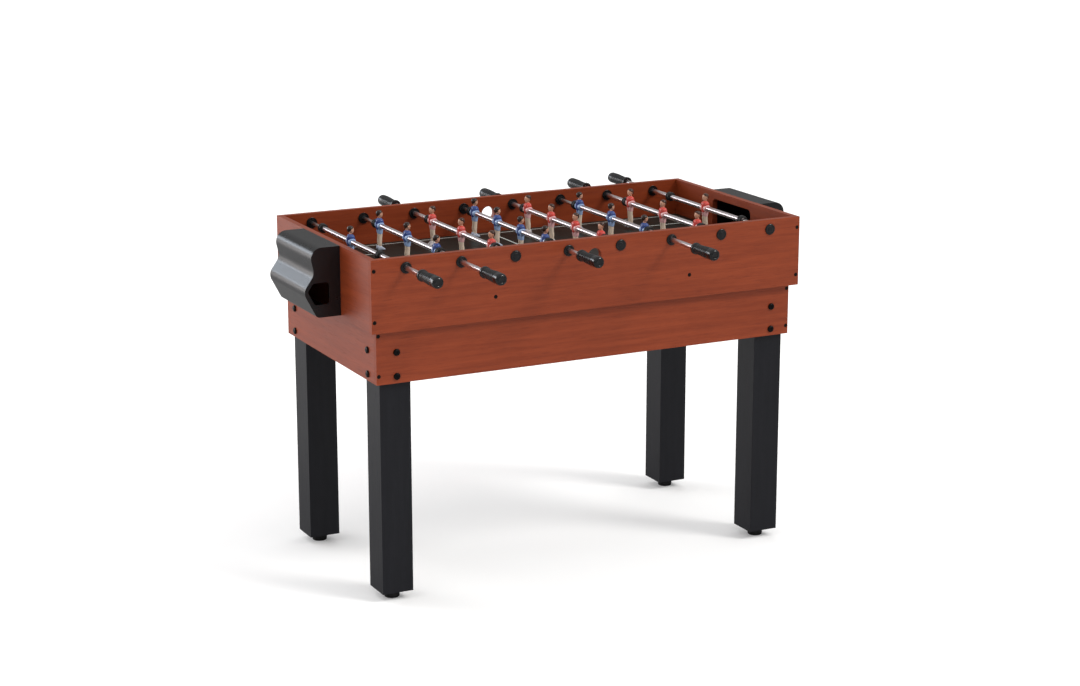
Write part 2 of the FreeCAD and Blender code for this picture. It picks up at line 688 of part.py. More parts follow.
def leg_bolts():
    bolts = []
    for side in SIDES:
        for end in SIDES:
            for level, z in enumerate(bolt_levels()):
                tag = f"{side + 1}_{end + 1}_{level}"
                at = (f"{end} * {LEG_X}", f"{side} * ({APRON_Y} + bolt_head_thick)", z)
                bolts.append(copy_of(masters["leg_bolt"], f"leg_bolt_y_{tag}", at,
                                     OUTWARD_Y[-side]))
                at = (f"{end} * ({APRON_X} + bolt_head_thick)", f"{side} * {LEG_Y}", z)
                bolts.append(copy_of(masters["leg_bolt"], f"leg_bolt_x_{tag}", at,
                                     OUTWARD_X[-end]))
    return node(group("leg_bolts", bolts), "leg_bolts")


def ball_box_screws():
    screws = []
    for side in SIDES:
        for end in SIDES:
            for level, drop in enumerate(("box_screw_upper", "box_screw_lower")):
                at = (f"{side} * (box_length / 2 + strip_thick + box_screw_head_thick)",
                      f"{end} * (ball_box_width / 2 - box_screw_inset)",
                      f"{BALL_BOX_TOP} - {drop}")
                screws.append(copy_of(masters["box_screw"],
                                      f"ball_box_screw_{side + 1}_{end + 1}_{level}", at,
                                      OUTWARD_X[-side]))
    return node(group("ball_box_screws", screws), "ball_box_screws")


# ---------------------------------------------------------------- rod bearings

def make_bearings():
    """The bushing, blind cap and ring nut, each along its own +Z from the inside of the box."""
    barrel = "panel_thick + nut_thick"
    outer = f"{barrel} + flange_thick"
    bore = "rod_radius + rod_clear"
    bushing = turned("bushing", [(bore, "0"), ("barrel_radius", "0"), ("barrel_radius", barrel),
                                 ("flange_radius", barrel), ("flange_radius", outer),
                                 (bore, outer)])
    rounded(bushing, "bushing_rounding", "flange_round", ring_edge("flange_radius", outer))
    seat = "inner_rod_radius + slip"
    cap = turned("blind_cap", [(seat, "0"), ("barrel_radius", "0"), ("barrel_radius", barrel),
                               ("flange_radius", barrel), ("flange_radius", outer), ("0", outer),
                               ("0", barrel), (seat, barrel)])
    rounded(cap, "blind_cap_rounding", "flange_round", ring_edge("flange_radius", outer))
    nut = turned("ring_nut", [("barrel_radius + slip", "0"), ("flange_radius", "0"),
                              ("flange_radius", "nut_thick"), ("barrel_radius + slip", "nut_thick")])
    rounded(nut, "ring_nut_rounding", "nut_round", ring_edge("flange_radius", "0"))
    rod = turned("inner_rod", [("0", "0"), ("inner_rod_radius", "0"),
                               ("inner_rod_radius", INNER_ROD_LENGTH), ("0", INNER_ROD_LENGTH)])
    masters.update(bushing=bushing, blind_cap=cap, ring_nut=nut, inner_rod=rod)


def bearings():
    """Bushings on the handle sides, and blind caps with their inner rods on the other sides."""
    bushings, caps, nuts, inner = [], [], [], []
    for index, (name, side, *_) in enumerate(RODS):
        x = rod_x(index)
        handle_at = (x, f"{side} * {CLEAR_HALF}", AXIS_Z)
        blind_at = (x, f"{-side} * {CLEAR_HALF}", AXIS_Z)
        tip_at = (x, f"{-side} * {INNER_ROD_TIP}", AXIS_Z)
        out, back = OUTWARD_Y[side], OUTWARD_Y[-side]
        bushings.append(copy_of(masters["bushing"], f"{name}_bushing", handle_at, out))
        caps.append(copy_of(masters["blind_cap"], f"{name}_blind_cap", blind_at, back))
        nuts.append(copy_of(masters["ring_nut"], f"{name}_bushing_nut", handle_at, out))
        nuts.append(copy_of(masters["ring_nut"], f"{name}_cap_nut", blind_at, back))
        inner.append(copy_of(masters["inner_rod"], f"{name}_inner_rod", tip_at, back))
    node(group("rod_bushings", bushings), "rod_bushings")
    node(group("blind_caps", caps), "blind_caps")
    node(group("bushing_nuts", nuts), "bushing_nuts")
    node(group("inner_rods", inner), "inner_rods")


# ---------------------------------------------------------------- rods, men, bumpers, handles

def make_man():
    """A moulded player in one piece, facing +X, with its rod along Y through the origin."""
    half = "man_width / 2"
    chest = block("man_chest", ("-man_depth / 2", f"-{half}", "-hub_drop"),
                  ("man_depth / 2", half, "shoulder_rise"))
    neck = drum("man_neck", "neck_radius", "head_rise - head_radius - shoulder_rise",
                ("0", "0", "shoulder_rise"))
    head = doc.addObject("Part::Sphere", "man_head")
    bind(head, "Radius", "head_radius")
    place(head, "0", "0", "head_rise - head_radius")
    legs = block("man_legs", ("-leg_depth / 2", "-leg_width / 2", f"boot_height - {FOOT_DROP}"),
                 ("leg_depth / 2", "leg_width / 2", "-hub_drop"))
    boots = block("man_boots", ("-boot_heel", "-boot_width / 2", f"-{FOOT_DROP}"),
                  ("boot_toe", "boot_width / 2", f"boot_height - {FOOT_DROP}"))
    figure = joined("man_figure", [chest, neck, head, legs, boots])
    bore = drum("man_bore", "rod_radius + slip", "man_width", ("0", f"-{half}", "0"), TO_REAR)
    masters["man"] = drilled("man", figure, [bore])


def make_bumper():
    bore = "rod_radius + bumper_clear"
    bumper = turned("bumper", [(bore, "0"), ("bumper_radius", "0"),
                               ("bumper_radius", "bumper_length"), (bore, "bumper_length")])
    for tag, height in (("inner", "0"), ("outer", "bumper_length")):
        rounded(bumper, f"bumper_{tag}_rounding", "bumper_round",
                ring_edge("bumper_radius", height))
    masters["bumper"] = bumper


def rod_tube(name, side, slide, x):
    """The tube, from the outer face of its far bumper to the bottom of the handle's socket."""
    length = f"{CLEAR_HALF} - {slide} + {handle_reach(name, slide)} + socket_depth"
    bore = "rod_radius - tube_wall"
    body = turned(f"{name}_rod", [(bore, "0"), ("rod_radius", "0"), ("rod_radius", length),
                                  (bore, length)])
    place(body, x, f"{name}_shift - {side} * ({CLEAR_HALF} - {slide})", AXIS_Z, OUTWARD_Y[side])
    return node(body, f"{name}_rod")


def handle_reach(name, slide):
    """From the middle of the rod to the inner end of its handle."""
    return f"(box_width / 2 + flange_thick + {name}_gap + {slide})"


def handle(name, side, slide, x):
    """A grip with a collar, a slim waist and a thicker rounded end, over the end of the tube."""
    socket = "rod_radius + slip"
    body = turned(f"{name}_handle",
                  [("0", "socket_depth"), (socket, "socket_depth"), (socket, "0"),
                   ("handle_collar", "0"), ("handle_collar", "collar_length"),
                   ("handle_waist", "waist_start"), ("handle_end", "swell_start"),
                   ("handle_end", "handle_length"),
                   ("0", "handle_length")])
    rounded(body, f"{name}_handle_rounding", "handle_round",
            ring_edge("handle_end", "handle_length"))
    place(body, x, f"{name}_shift + {side} * {handle_reach(name, slide)}", AXIS_Z,
          OUTWARD_Y[side])
    return node(body, f"{name}_handle")


def men(name, count, slide, x, facing):
    """The men of one rod, spread evenly so that the outer ones leave room for the bumpers."""
    outermost = f"({CLEAR_HALF} - {slide} - bumper_length - man_width / 2)"
    turn = turn_about((0, 0, 1), 0 if facing > 0 else 180)
    figures = []
    for number in range(count):
        share = 0 if count == 1 else 2 * number / (count - 1) - 1
        at = (x, f"{name}_shift + {share} * {outermost}", AXIS_Z)
        figures.append(copy_of(masters["man"], f"{name}_man_{number + 1}", at, turn))
    return node(group(f"{name}_men", figures), f"{name}_men")


def bumpers(name, slide, x):
    rings = []
    for side in SIDES:
        at = (x, f"{name}_shift + {side} * ({CLEAR_HALF} - {slide} - bumper_length)", AXIS_Z)
        rings.append(copy_of(masters["bumper"], f"{name}_bumper_{side + 1}", at, OUTWARD_Y[side]))
    return node(group(f"{name}_bumpers", rings), f"{name}_bumpers")


def rods():
    """Blue attacks towards +X and red towards -X."""
    for index, (name, side, count, *_) in enumerate(RODS):
        slide, x = SLIDES[count], rod_x(index)
        facing = 1 if name.startswith("blue") else -1
        rod_tube(name, side, slide, x)
        handle(name, side, slide, x)
        men(name, count, slide, x, facing)
        bumpers(name, slide, x)


# ---------------------------------------------------------------- build, check and write

def check_all():
    """Stops the build if anything failed or a sub-part has no sound solid."""
    broken = [item.Name for item in doc.Objects
              if "Invalid" in item.State or "Error" in item.State]
    if broken:
        raise RuntimeError(f"not recomputed: {broken}")
    for item in nodes:
        if item.Shape.isNull() or not item.Shape.isValid() or not item.Shape.Solids:
            raise RuntimeError(f"no sound solid: {item.Label}")


def write_all():
    os.makedirs("parts", exist_ok=True)
    for item in nodes:
        item.Shape.exportStep(f"parts/{item.Label}.step")


def build():
    fill_sheet()
    make_masters()
    make_bearings()
    make_man()
    make_bumper()
    side_panel("front_side_panel", FRONT)
    side_panel("rear_side_panel", REAR)
    end_panel("left_end_panel", -1)
    end_panel("right_end_panel", 1)
    playfield()
    field_ledgers()
    long_rail("apron_front_rail", FRONT)
    long_rail("apron_rear_rail", REAR)
    short_rail("apron_left_rail", -1)
    short_rail("apron_right_rail", 1)
    for side, depth in ((FRONT, "front"), (REAR, "rear")):
        for end, hand in ((-1, "left"), (1, "right")):
            leg(f"leg_{depth}_{hand}", end, side)
            foot(f"foot_{depth}_{hand}", end, side)
    ball_box("left_ball_box", -1)
    ball_box("right_ball_box", 1)
    bearings()
    rods()
    corner_screws()
    ledger_screws()
    leg_bolts()
    ball_box_screws()
    doc.recompute()
    check_all()
    write_all()


build()
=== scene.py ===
import math

import bmesh
import bpy
from bpy.props import FloatProperty, FloatVectorProperty, IntProperty, PointerProperty
from mathutils import Matrix, Vector


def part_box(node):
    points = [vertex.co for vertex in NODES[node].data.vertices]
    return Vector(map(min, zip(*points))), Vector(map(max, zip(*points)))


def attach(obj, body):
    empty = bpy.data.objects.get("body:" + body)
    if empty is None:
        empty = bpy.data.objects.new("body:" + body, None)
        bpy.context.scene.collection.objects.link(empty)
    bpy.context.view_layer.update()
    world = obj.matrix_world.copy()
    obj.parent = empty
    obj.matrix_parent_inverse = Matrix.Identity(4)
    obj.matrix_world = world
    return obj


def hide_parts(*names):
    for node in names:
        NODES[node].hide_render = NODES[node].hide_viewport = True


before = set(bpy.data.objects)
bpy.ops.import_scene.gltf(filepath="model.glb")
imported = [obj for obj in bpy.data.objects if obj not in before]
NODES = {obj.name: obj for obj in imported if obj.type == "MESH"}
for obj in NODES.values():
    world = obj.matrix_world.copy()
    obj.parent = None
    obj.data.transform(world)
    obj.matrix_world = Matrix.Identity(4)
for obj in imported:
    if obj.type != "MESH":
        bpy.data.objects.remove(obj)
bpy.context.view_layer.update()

bl_info = {
    "name": "Foosball Table",
    "version": (1, 0, 0),
    "blender": (4, 5, 0),
    "location": "View3D > Sidebar > Foosball",
    "description": "Boards, men, rods, handles and fittings of a four-foot foosball table",
    "category": "Add Mesh",
}

# Metres throughout, +Z up, the table along X, its front side towards -Y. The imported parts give
# every place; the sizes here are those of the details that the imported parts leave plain.

MM = 0.001
SIDES = (-1, 1)
MERGE = 1e-6
PACKED_MERGE = 1e-5
SAME_SIZE = 1e-6
ALONG_RODS = (0, 1, 0)

BOX_PANELS = {"front_side_panel": "x", "rear_side_panel": "x",
              "left_end_panel": "y", "right_end_panel": "y"}
APRON_RAILS = {"apron_front_rail": "x", "apron_rear_rail": "x",
               "apron_left_rail": "y", "apron_right_rail": "y"}
CORNERS = ("front_left", "front_right", "rear_left", "rear_right")

# Specular level of the cherry laminate on the boards along X and along Y.
CHERRY_SHEEN = {"x": 0.32, "y": 0.42}

# The inside of the tubes, the chamfer at the ends of rods, and the room for the tube in a man.
TUBE_BORE = 5.15 * MM
CHAMFER = 0.4 * MM
HUB_BORE = 6.45 * MM
MAN_REACH = 16 * MM
CROSSED = ("chest", "sleeve", "forearm", "shorts")
SOLE_HEIGHT = -64.6 * MM
HAIRLINE, HAIRLINE_SLOPE = (2.6 * MM, 0, 32.5 * MM), (0.62, 0, -0.78)

# How many sides the round pieces have.
FOOT_SIDES, BEARING_SIDES, SCREW_SIDES = 48, 40, 28
ROD_SIDES, BUMPER_SIDES, GRIP_SIDES, HUB_SIDES = 32, 36, 44, 28

# Lines on the playing surface, from its middle.
FIELD_END, FIELD_SIDE = 0.555, 0.272
CIRCLE_RADIUS, SPOT_RADIUS = 0.092, 0.008
ARC_CENTRE, ARC_RADIUS = 0.43, 0.085
LARGE_BOX_START, LARGE_BOX_REACH = 0.375, 0.170
SMALL_BOX_START, SMALL_BOX_REACH = 0.475, 0.100

# Where the lights and the camera stand, and what the lights point at.
KEY_PLACE, KEY_AIM = (3.2, -3.4, 5.0), (0, 0, 0.7)
GLOW_PLACE, GLOW_AIM = (-4.6, 4.4, 1.7), (-0.4, 0, 0.6)
GLOW_POWER, GLOW_SIZE = 170, 3.4
STRIP_PLACE, STRIP_AIM = (-2.9, 4.9, 1.95), (-0.6, 0, 0.8)
STRIP_POWER, STRIP_LENGTH, STRIP_HEIGHT = 26, 2.8, 0.8
CAMERA_PLACE = (-2.629, -5.210, 2.002)
CAMERA_TURN = (math.radians(75.79), 0, math.radians(-26.83))
SENSOR_WIDTH, VIEW_REACH = 36, 200


def middle(node):
    low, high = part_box(node)
    return (low + high) / 2


RODS = sorted((name[:-4] for name in NODES if name.endswith("_rod")),
              key=lambda rod: middle(f"{rod}_rod").x)


# ---------------------------------------------------------------- settings

class CabinetSettings(bpy.types.PropertyGroup):
    cherry: FloatVectorProperty(
        name="Cherry", description="Lighter tone of the cherry laminate", subtype="COLOR",
        size=4, min=0, max=1, default=(0.290, 0.050, 0.013, 1))
    cherry_dark: FloatVectorProperty(
        name="Cherry grain", description="Darker tone of the cherry laminate", subtype="COLOR",
        size=4, min=0, max=1, default=(0.140, 0.019, 0.005, 1))
    board_edge: FloatProperty(
        name="Board edges", description="Softening of the edges of boards and legs",
        unit="LENGTH", min=0, default=0.9 * MM)
    leg_foil: FloatVectorProperty(
        name="Leg foil", description="Colour of the legs", subtype="COLOR", size=4, min=0,
        max=1, default=(0.0060, 0.0062, 0.0085, 1))
    field: FloatVectorProperty(
        name="Field", description="Colour of the playing surface", subtype="COLOR", size=4,
        min=0, max=1, default=(0.010, 0.016, 0.014, 1))
    field_lines: FloatVectorProperty(
        name="Field lines", description="Colour of the lines on the playing surface",
        subtype="COLOR", size=4, min=0, max=1, default=(0.55, 0.58, 0.55, 1))
    line_width: FloatProperty(
        name="Line width", description="Width of the lines on the playing surface",
        unit="LENGTH", min=0, default=5 * MM)


class FittingSettings(bpy.types.PropertyGroup):
    black: FloatVectorProperty(
        name="Black plastic", description="Ball boxes, bearings, feet and handles",
        subtype="COLOR", size=4, min=0, max=1, default=(0.0035, 0.0035, 0.0045, 1))
    # The rod steel's pink tint is a painted reflection of the cherry cabinet.
    steel: FloatVectorProperty(
        name="Rod steel", description="Colour of the chromed rods", subtype="COLOR", size=4,
        min=0, max=1, default=(0.80, 0.73, 0.74, 1))
    ball_box_edge: FloatProperty(
        name="Ball box edges", description="Softening of the edges of the ball boxes",
        unit="LENGTH", min=0, default=1.1 * MM)
    grip_ribs: IntProperty(
        name="Grip ribs", description="Raised rings round a handle", min=1, default=13)
    rib_depth: FloatProperty(
        name="Rib depth", description="Depth of the grooves between the rings", unit="LENGTH",
        min=0, default=0.8 * MM)


class MenSettings(bpy.types.PropertyGroup):
    blue_jersey: FloatVectorProperty(
        name="Blue jersey", description="Jersey of the men that attack to the right",
        subtype="COLOR", size=4, min=0, max=1, default=(0.014, 0.055, 0.24, 1))
    red_jersey: FloatVectorProperty(
        name="Red jersey", description="Jersey of the men that attack to the left",
        subtype="COLOR", size=4, min=0, max=1, default=(0.60, 0.045, 0.030, 1))
    # The shorts colours also colour the hubs. They are pale shorts, and on the hub they are
    # partly a painted highlight of the key light.
    blue_shorts_and_hub_highlight: FloatVectorProperty(
        name="Blue side's shorts", description="Shorts and hub of the blue men",
        subtype="COLOR", size=4, min=0, max=1, default=(0.30, 0.44, 0.70, 1))
    red_shorts_and_hub_highlight: FloatVectorProperty(
        name="Red side's shorts", description="Shorts and hub of the red men",
        subtype="COLOR", size=4, min=0, max=1, default=(0.78, 0.42, 0.42, 1))
    skin: FloatVectorProperty(
        name="Skin", description="Face, arms and legs", subtype="COLOR", size=4, min=0, max=1,
        default=(0.66, 0.34, 0.22, 1))
    legs: FloatVectorProperty(
        name="Legs", description="Stockings", subtype="COLOR", size=4, min=0, max=1,
        default=(0.74, 0.60, 0.47, 1))
    hair_dark: FloatVectorProperty(
        name="Dark hair", description="Hair of the blue men", subtype="COLOR", size=4, min=0,
        max=1, default=(0.020, 0.008, 0.005, 1))
    hair_brown: FloatVectorProperty(
        name="Brown hair", description="Hair of the red men", subtype="COLOR", size=4, min=0,
        max=1, default=(0.045, 0.014, 0.007, 1))


class StageSettings(bpy.types.PropertyGroup):
    floor: FloatVectorProperty(
        name="Floor", description="Colour of the floor", subtype="COLOR", size=4, min=0, max=1,
        default=(0.90, 0.90, 0.90, 1))
    floor_reflected: FloatProperty(
        name="Floor in reflections", description="Share of the floor's brightness in reflections",
        min=0, max=1, default=0.3)
    floor_lift: FloatProperty(
        name="Floor lift", description="Light added to the floor as the camera sees it",
        min=0, default=0.14)
    air: FloatProperty(name="Room light", description="Strength of the light from all round",
                       min=0, default=1.06)
    air_reflected: FloatProperty(
        name="Room in reflections", description="Share of the room's light in reflections",
        min=0, max=1, default=0.42)
    key: FloatProperty(name="Key light", description="Strength of the light from the right",
                       min=0, default=1.3)
    lens: FloatProperty(name="Lens", description="Focal length in millimetres", min=1,
                        default=77.8)


# ---------------------------------------------------------------- modelling by hand

def clear_selection():
    if bpy.context.object and bpy.context.object.mode != "OBJECT":
        bpy.ops.object.mode_set(mode="OBJECT")
    bpy.ops.object.select_all(action="DESELECT")


def pick(*pieces):
    clear_selection()
    for piece in pieces:
        piece.select_set(True)
    bpy.context.view_layer.objects.active = pieces[0]
    return pieces[0]


def named(piece, name):
    piece.name = name
    piece.data.name = name
    return piece


def set_in_place(piece):
    """Moves the piece's place into its mesh, so its object sits at the origin."""
    pick(piece)
    bpy.ops.object.transform_apply(location=True, rotation=True, scale=True)
    return piece


def seal(piece):
    """Merges doubles and turns all faces outwards."""
    pick(piece)
    bpy.ops.object.mode_set(mode="EDIT")
    bpy.ops.mesh.select_all(action="SELECT")
    bpy.ops.mesh.remove_doubles(threshold=MERGE)
    bpy.ops.mesh.normals_make_consistent(inside=False)
    bpy.ops.object.mode_set(mode="OBJECT")
    return piece


def apply_modifier(piece, kind, **settings):
    pick(piece)
    modifier = piece.modifiers.new(kind.title(), kind)
    for key, value in settings.items():
        setattr(modifier, key, value)
    bpy.ops.object.modifier_apply(modifier=modifier.name)


def smooth(piece, degrees=40):
    pick(piece)
    bpy.ops.object.shade_smooth_by_angle(angle=math.radians(degrees))
    return piece


def loft(name, sections, sides=16, bored=False):
    """A piece drawn out upwards from a circle: each section is (height, half depth along X,
    half width along Y, shift along X, shift along Y). A bored one is open along its middle,
    so its sections run back to where they began."""
    clear_selection()
    bpy.ops.mesh.primitive_circle_add(vertices=sides, radius=1,
                                      fill_type="NOTHING" if bored else "NGON",
                                      location=(0, 0, 0))
    piece = named(bpy.context.object, name)
    bpy.ops.object.mode_set(mode="EDIT")
    bpy.ops.mesh.select_mode(type="VERT")
    bpy.ops.mesh.select_all(action="SELECT")
    last = (0, 1, 1, 0, 0)
    for number, section in enumerate(sections):
        height, depth, width, shift_x, shift_y = section
        step = (shift_x - last[3], shift_y - last[4], height - last[0])
        if number:
            bpy.ops.mesh.extrude_region_move(TRANSFORM_OT_translate={"value": step})
        else:
            bpy.ops.transform.translate(value=step)
        grow = (depth / last[1], width / last[2], 1)
        if abs(grow[0] - 1) > SAME_SIZE or abs(grow[1] - 1) > SAME_SIZE:
            bpy.ops.transform.resize(value=grow, center_override=(shift_x, shift_y, height))
        last = section
    bpy.ops.object.mode_set(mode="OBJECT")
    return seal(piece)


def turned(name, rings, sides=32, bored=False):
    """A round piece about Z, from (radius, height) rings."""
    return loft(name, [(height, radius, radius, 0, 0) for radius, height in rings], sides,
                bored)


def softened(node, name, width, degrees=50):
    """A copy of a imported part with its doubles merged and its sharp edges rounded."""
    piece = bpy.data.objects.new(name, NODES[node].data.copy())
    bpy.context.scene.collection.objects.link(piece)
    named(piece, name)
    piece.data.materials.clear()
    pick(piece)
    bpy.ops.object.mode_set(mode="EDIT")
    bpy.ops.mesh.select_all(action="SELECT")
    bpy.ops.mesh.remove_doubles(threshold=PACKED_MERGE)
    bpy.ops.mesh.dissolve_limited(angle_limit=math.radians(0.5))
    bpy.ops.object.mode_set(mode="OBJECT")
    bpy.ops.object.shade_smooth()
    apply_modifier(piece, "BEVEL", width=width, segments=2, limit_method="ANGLE",
                   angle_limit=math.radians(degrees))
    apply_modifier(piece, "WEIGHTED_NORMAL", weight=100, keep_sharp=True)
    return piece


def copies(master, name, places):
    """One piece of a copy of the master at each place; the master stays for the caller to drop.
    """
    made = []
    for number, place in enumerate(places):
        copy = bpy.data.objects.new(f"{name}_{number}", master.data.copy())
        bpy.context.scene.collection.objects.link(copy)
        copy.data.transform(place)
        made.append(copy)
    pick(*made)
    if len(made) > 1:
        bpy.ops.object.join()
    return named(made[0], name)


def drop(*pieces):
    for piece in pieces:
        bpy.data.objects.remove(piece)


def merged(name, pieces):
    pick(*pieces)
    bpy.ops.object.join()
    return named(pieces[0], name)


def solids_of(node):
    """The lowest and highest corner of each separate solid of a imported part."""
    shape = bmesh.new()
    shape.from_mesh(NODES[node].data)
    bmesh.ops.remove_doubles(shape, verts=shape.verts, dist=PACKED_MERGE)
    left, boxes = set(shape.verts), []
    while left:
        queue, found = [left.pop()], []
        while queue:
            vertex = queue.pop()
            found.append(vertex.co.copy())
            for edge in vertex.link_edges:
                other = edge.other_vert(vertex)
                if other in left:
                    left.remove(other)
                    queue.append(other)
        boxes.append((Vector(min(c[i] for c in found) for i in range(3)),
                      Vector(max(c[i] for c in found) for i in range(3))))
    shape.free()
    return sorted(boxes, key=lambda box: tuple(round(v, 4) for v in (box[0] + box[1])))


def turn_towards(direction):
    """The turn that takes +Z to the direction."""
    return Vector((0, 0, 1)).rotation_difference(Vector(direction)).to_matrix().to_4x4()


def standing_at(point, direction):
    return Matrix.Translation(point) @ turn_towards(direction)


def along_rods(low, high):
    """A place at the end of a box towards -Y, pointing along the rods."""
    return standing_at(((low.x + high.x) / 2, low.y, (low.z + high.z) / 2), ALONG_RODS)


def outwards(low, high):
    """A place at the end of a box nearest the table's middle, pointing out along Y."""
    side = 1 if low.y + high.y > 0 else -1
    at = ((low.x + high.x) / 2, low.y if side > 0 else high.y, (low.z + high.z) / 2)
    return standing_at(at, (0, side, 0))


def from_mm(rings):
    return [(radius * MM, height * MM) for radius, height in rings]


def sink_faces(piece, chosen, margin, depth):
    """Sinks each face that the test chooses, with a margin left round it."""
    for face in piece.data.polygons:
        face.select = chosen(face)
    pick(piece)
    bpy.ops.object.mode_set(mode="EDIT")
    bpy.ops.mesh.select_mode(type="FACE")
    bpy.ops.mesh.inset(thickness=margin, depth=-depth, use_individual=True)
    bpy.ops.object.mode_set(mode="OBJECT")


def cut_off(piece, point, direction):
    """Cuts away what lies beyond a plane and fills the cut."""
    pick(piece)
    bpy.ops.object.mode_set(mode="EDIT")
    bpy.ops.mesh.select_all(action="SELECT")
    bpy.ops.mesh.bisect(plane_co=point, plane_no=direction, use_fill=True, clear_outer=True)
    bpy.ops.object.mode_set(mode="OBJECT")
    seal(piece)


def dress(piece, *materials):
    piece.data.materials.clear()
    for material in materials:
        piece.data.materials.append(material)


def dress_node(node, material):
    for slot in NODES[node].material_slots:
        slot.material = material


def settle(piece, body, slot, *replaced):
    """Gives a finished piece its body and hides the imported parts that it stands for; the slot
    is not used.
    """
    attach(piece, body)
    if replaced:
        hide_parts(*replaced)


# ---------------------------------------------------------------- shared surface effects

def new_group(name, inputs, outputs):
    group = bpy.data.node_groups.new(name, "ShaderNodeTree")
    for label, kind, value in inputs:
        socket = group.interface.new_socket(name=label, in_out="INPUT", socket_type=kind)
        socket.default_value = value
    for label, kind in outputs:
        group.interface.new_socket(name=label, in_out="OUTPUT", socket_type=kind)
    return group, group.nodes.new("NodeGroupInput"), group.nodes.new("NodeGroupOutput")


def link(tree, source, target):
    tree.links.new(source, target)
    return target.node


def stretched(tree, vector, scale):
    node = tree.nodes.new("ShaderNodeVectorMath")
    node.operation = "MULTIPLY"
    node.inputs[1].default_value = scale
    link(tree, vector, node.inputs[0])
    return node.outputs[0]


def noise(tree, vector, scale, detail=3.0, roughness=0.5, distortion=0.0):
    node = tree.nodes.new("ShaderNodeTexNoise")
    node.inputs["Scale"].default_value = scale
    node.inputs["Detail"].default_value = detail
    node.inputs["Roughness"].default_value = roughness
    node.inputs["Distortion"].default_value = distortion
    link(tree, vector, node.inputs["Vector"])
    return node.outputs["Fac"]


def remap(tree, value, low, high, to_low=0.0, to_high=1.0):
    node = tree.nodes.new("ShaderNodeMapRange")
    link(tree, value, node.inputs["Value"])
    for label, number in (("From Min", low), ("From Max", high), ("To Min", to_low),
                          ("To Max", to_high)):
        node.inputs[label].default_value = number
    return node.outputs["Result"]


def maths(tree, operation, first, second=None, third=None):
    node = tree.nodes.new("ShaderNodeMath")
    node.operation = operation
    for socket, value in zip(node.inputs, (first, second, third)):
        if isinstance(value, bpy.types.NodeSocket):
            link(tree, value, socket)
        elif value is not None:
            socket.default_value = value
    return node.outputs[0]


def mixed(tree, share, first, second, blend="MIX"):
    """A colour between two others; each may be a socket or a fixed colour."""
    node = tree.nodes.new("ShaderNodeMix")
    node.data_type = "RGBA"
    node.blend_type = blend
    for socket, value in ((node.inputs["Factor"], share), (node.inputs[6], first),
                          (node.inputs[7], second)):
        if isinstance(value, bpy.types.NodeSocket):
            link(tree, value, socket)
        else:
            socket.default_value = value
    return node.outputs[2]


COLOUR, NUMBER, PLACE = "NodeSocketColor", "NodeSocketFloat", "NodeSocketVector"
LOOK = [("Colour", COLOUR), ("Roughness", NUMBER), ("Height", NUMBER)]


def wood_grain():
    """Grain along X: broad tones, arched figure, fine streaks and short dark pores."""
    group, inside, out = new_group(
        "wood_grain", [("Vector", PLACE, (0, 0, 0)), ("Light", COLOUR, (1, 1, 1, 1)),
                       ("Dark", COLOUR, (0, 0, 0, 1))], LOOK)
    vector = inside.outputs["Vector"]
    broad = noise(group, stretched(group, vector, (0.9, 7, 7)), 2.4, 4, 0.55, 0.8)
    streak = noise(group, stretched(group, vector, (6, 130, 130)), 1.6, 6, 0.66)
    fibre = noise(group, stretched(group, vector, (16, 330, 330)), 1.4, 3, 0.6)
    wave = group.nodes.new("ShaderNodeTexWave")
    wave.bands_direction = "Z"
    for label, number in (("Scale", 5.5), ("Distortion", 5.5), ("Detail", 3.0),
                          ("Detail Scale", 1.1), ("Detail Roughness", 0.55)):
        wave.inputs[label].default_value = number
    link(group, stretched(group, vector, (0.55, 2.3, 2.3)), wave.inputs["Vector"])
    figure = remap(group, wave.outputs["Fac"], 0.15, 1.0)
    tone = maths(group, "MULTIPLY_ADD", remap(group, broad, 0.25, 0.75), 0.28, 0.19)
    tone = maths(group, "MULTIPLY_ADD", remap(group, streak, 0.28, 0.72), 0.40, tone)
    tone = maths(group, "MULTIPLY_ADD", figure, 0.13, tone)
    colour = mixed(group, tone, inside.outputs["Dark"], inside.outputs["Light"])
    pores = remap(group, fibre, 0.56, 0.68)
    dim = maths(group, "MULTIPLY", pores, 0.45)
    colour = mixed(group, dim, colour, inside.outputs["Dark"])
    link(group, colour, out.inputs["Colour"])
    rough = maths(group, "MULTIPLY_ADD", streak, 0.16, 0.30)
    link(group, maths(group, "MULTIPLY_ADD", pores, 0.08, rough), out.inputs["Roughness"])
    link(group, maths(group, "MULTIPLY_ADD", pores, -0.7, streak), out.inputs["Height"])
    return group


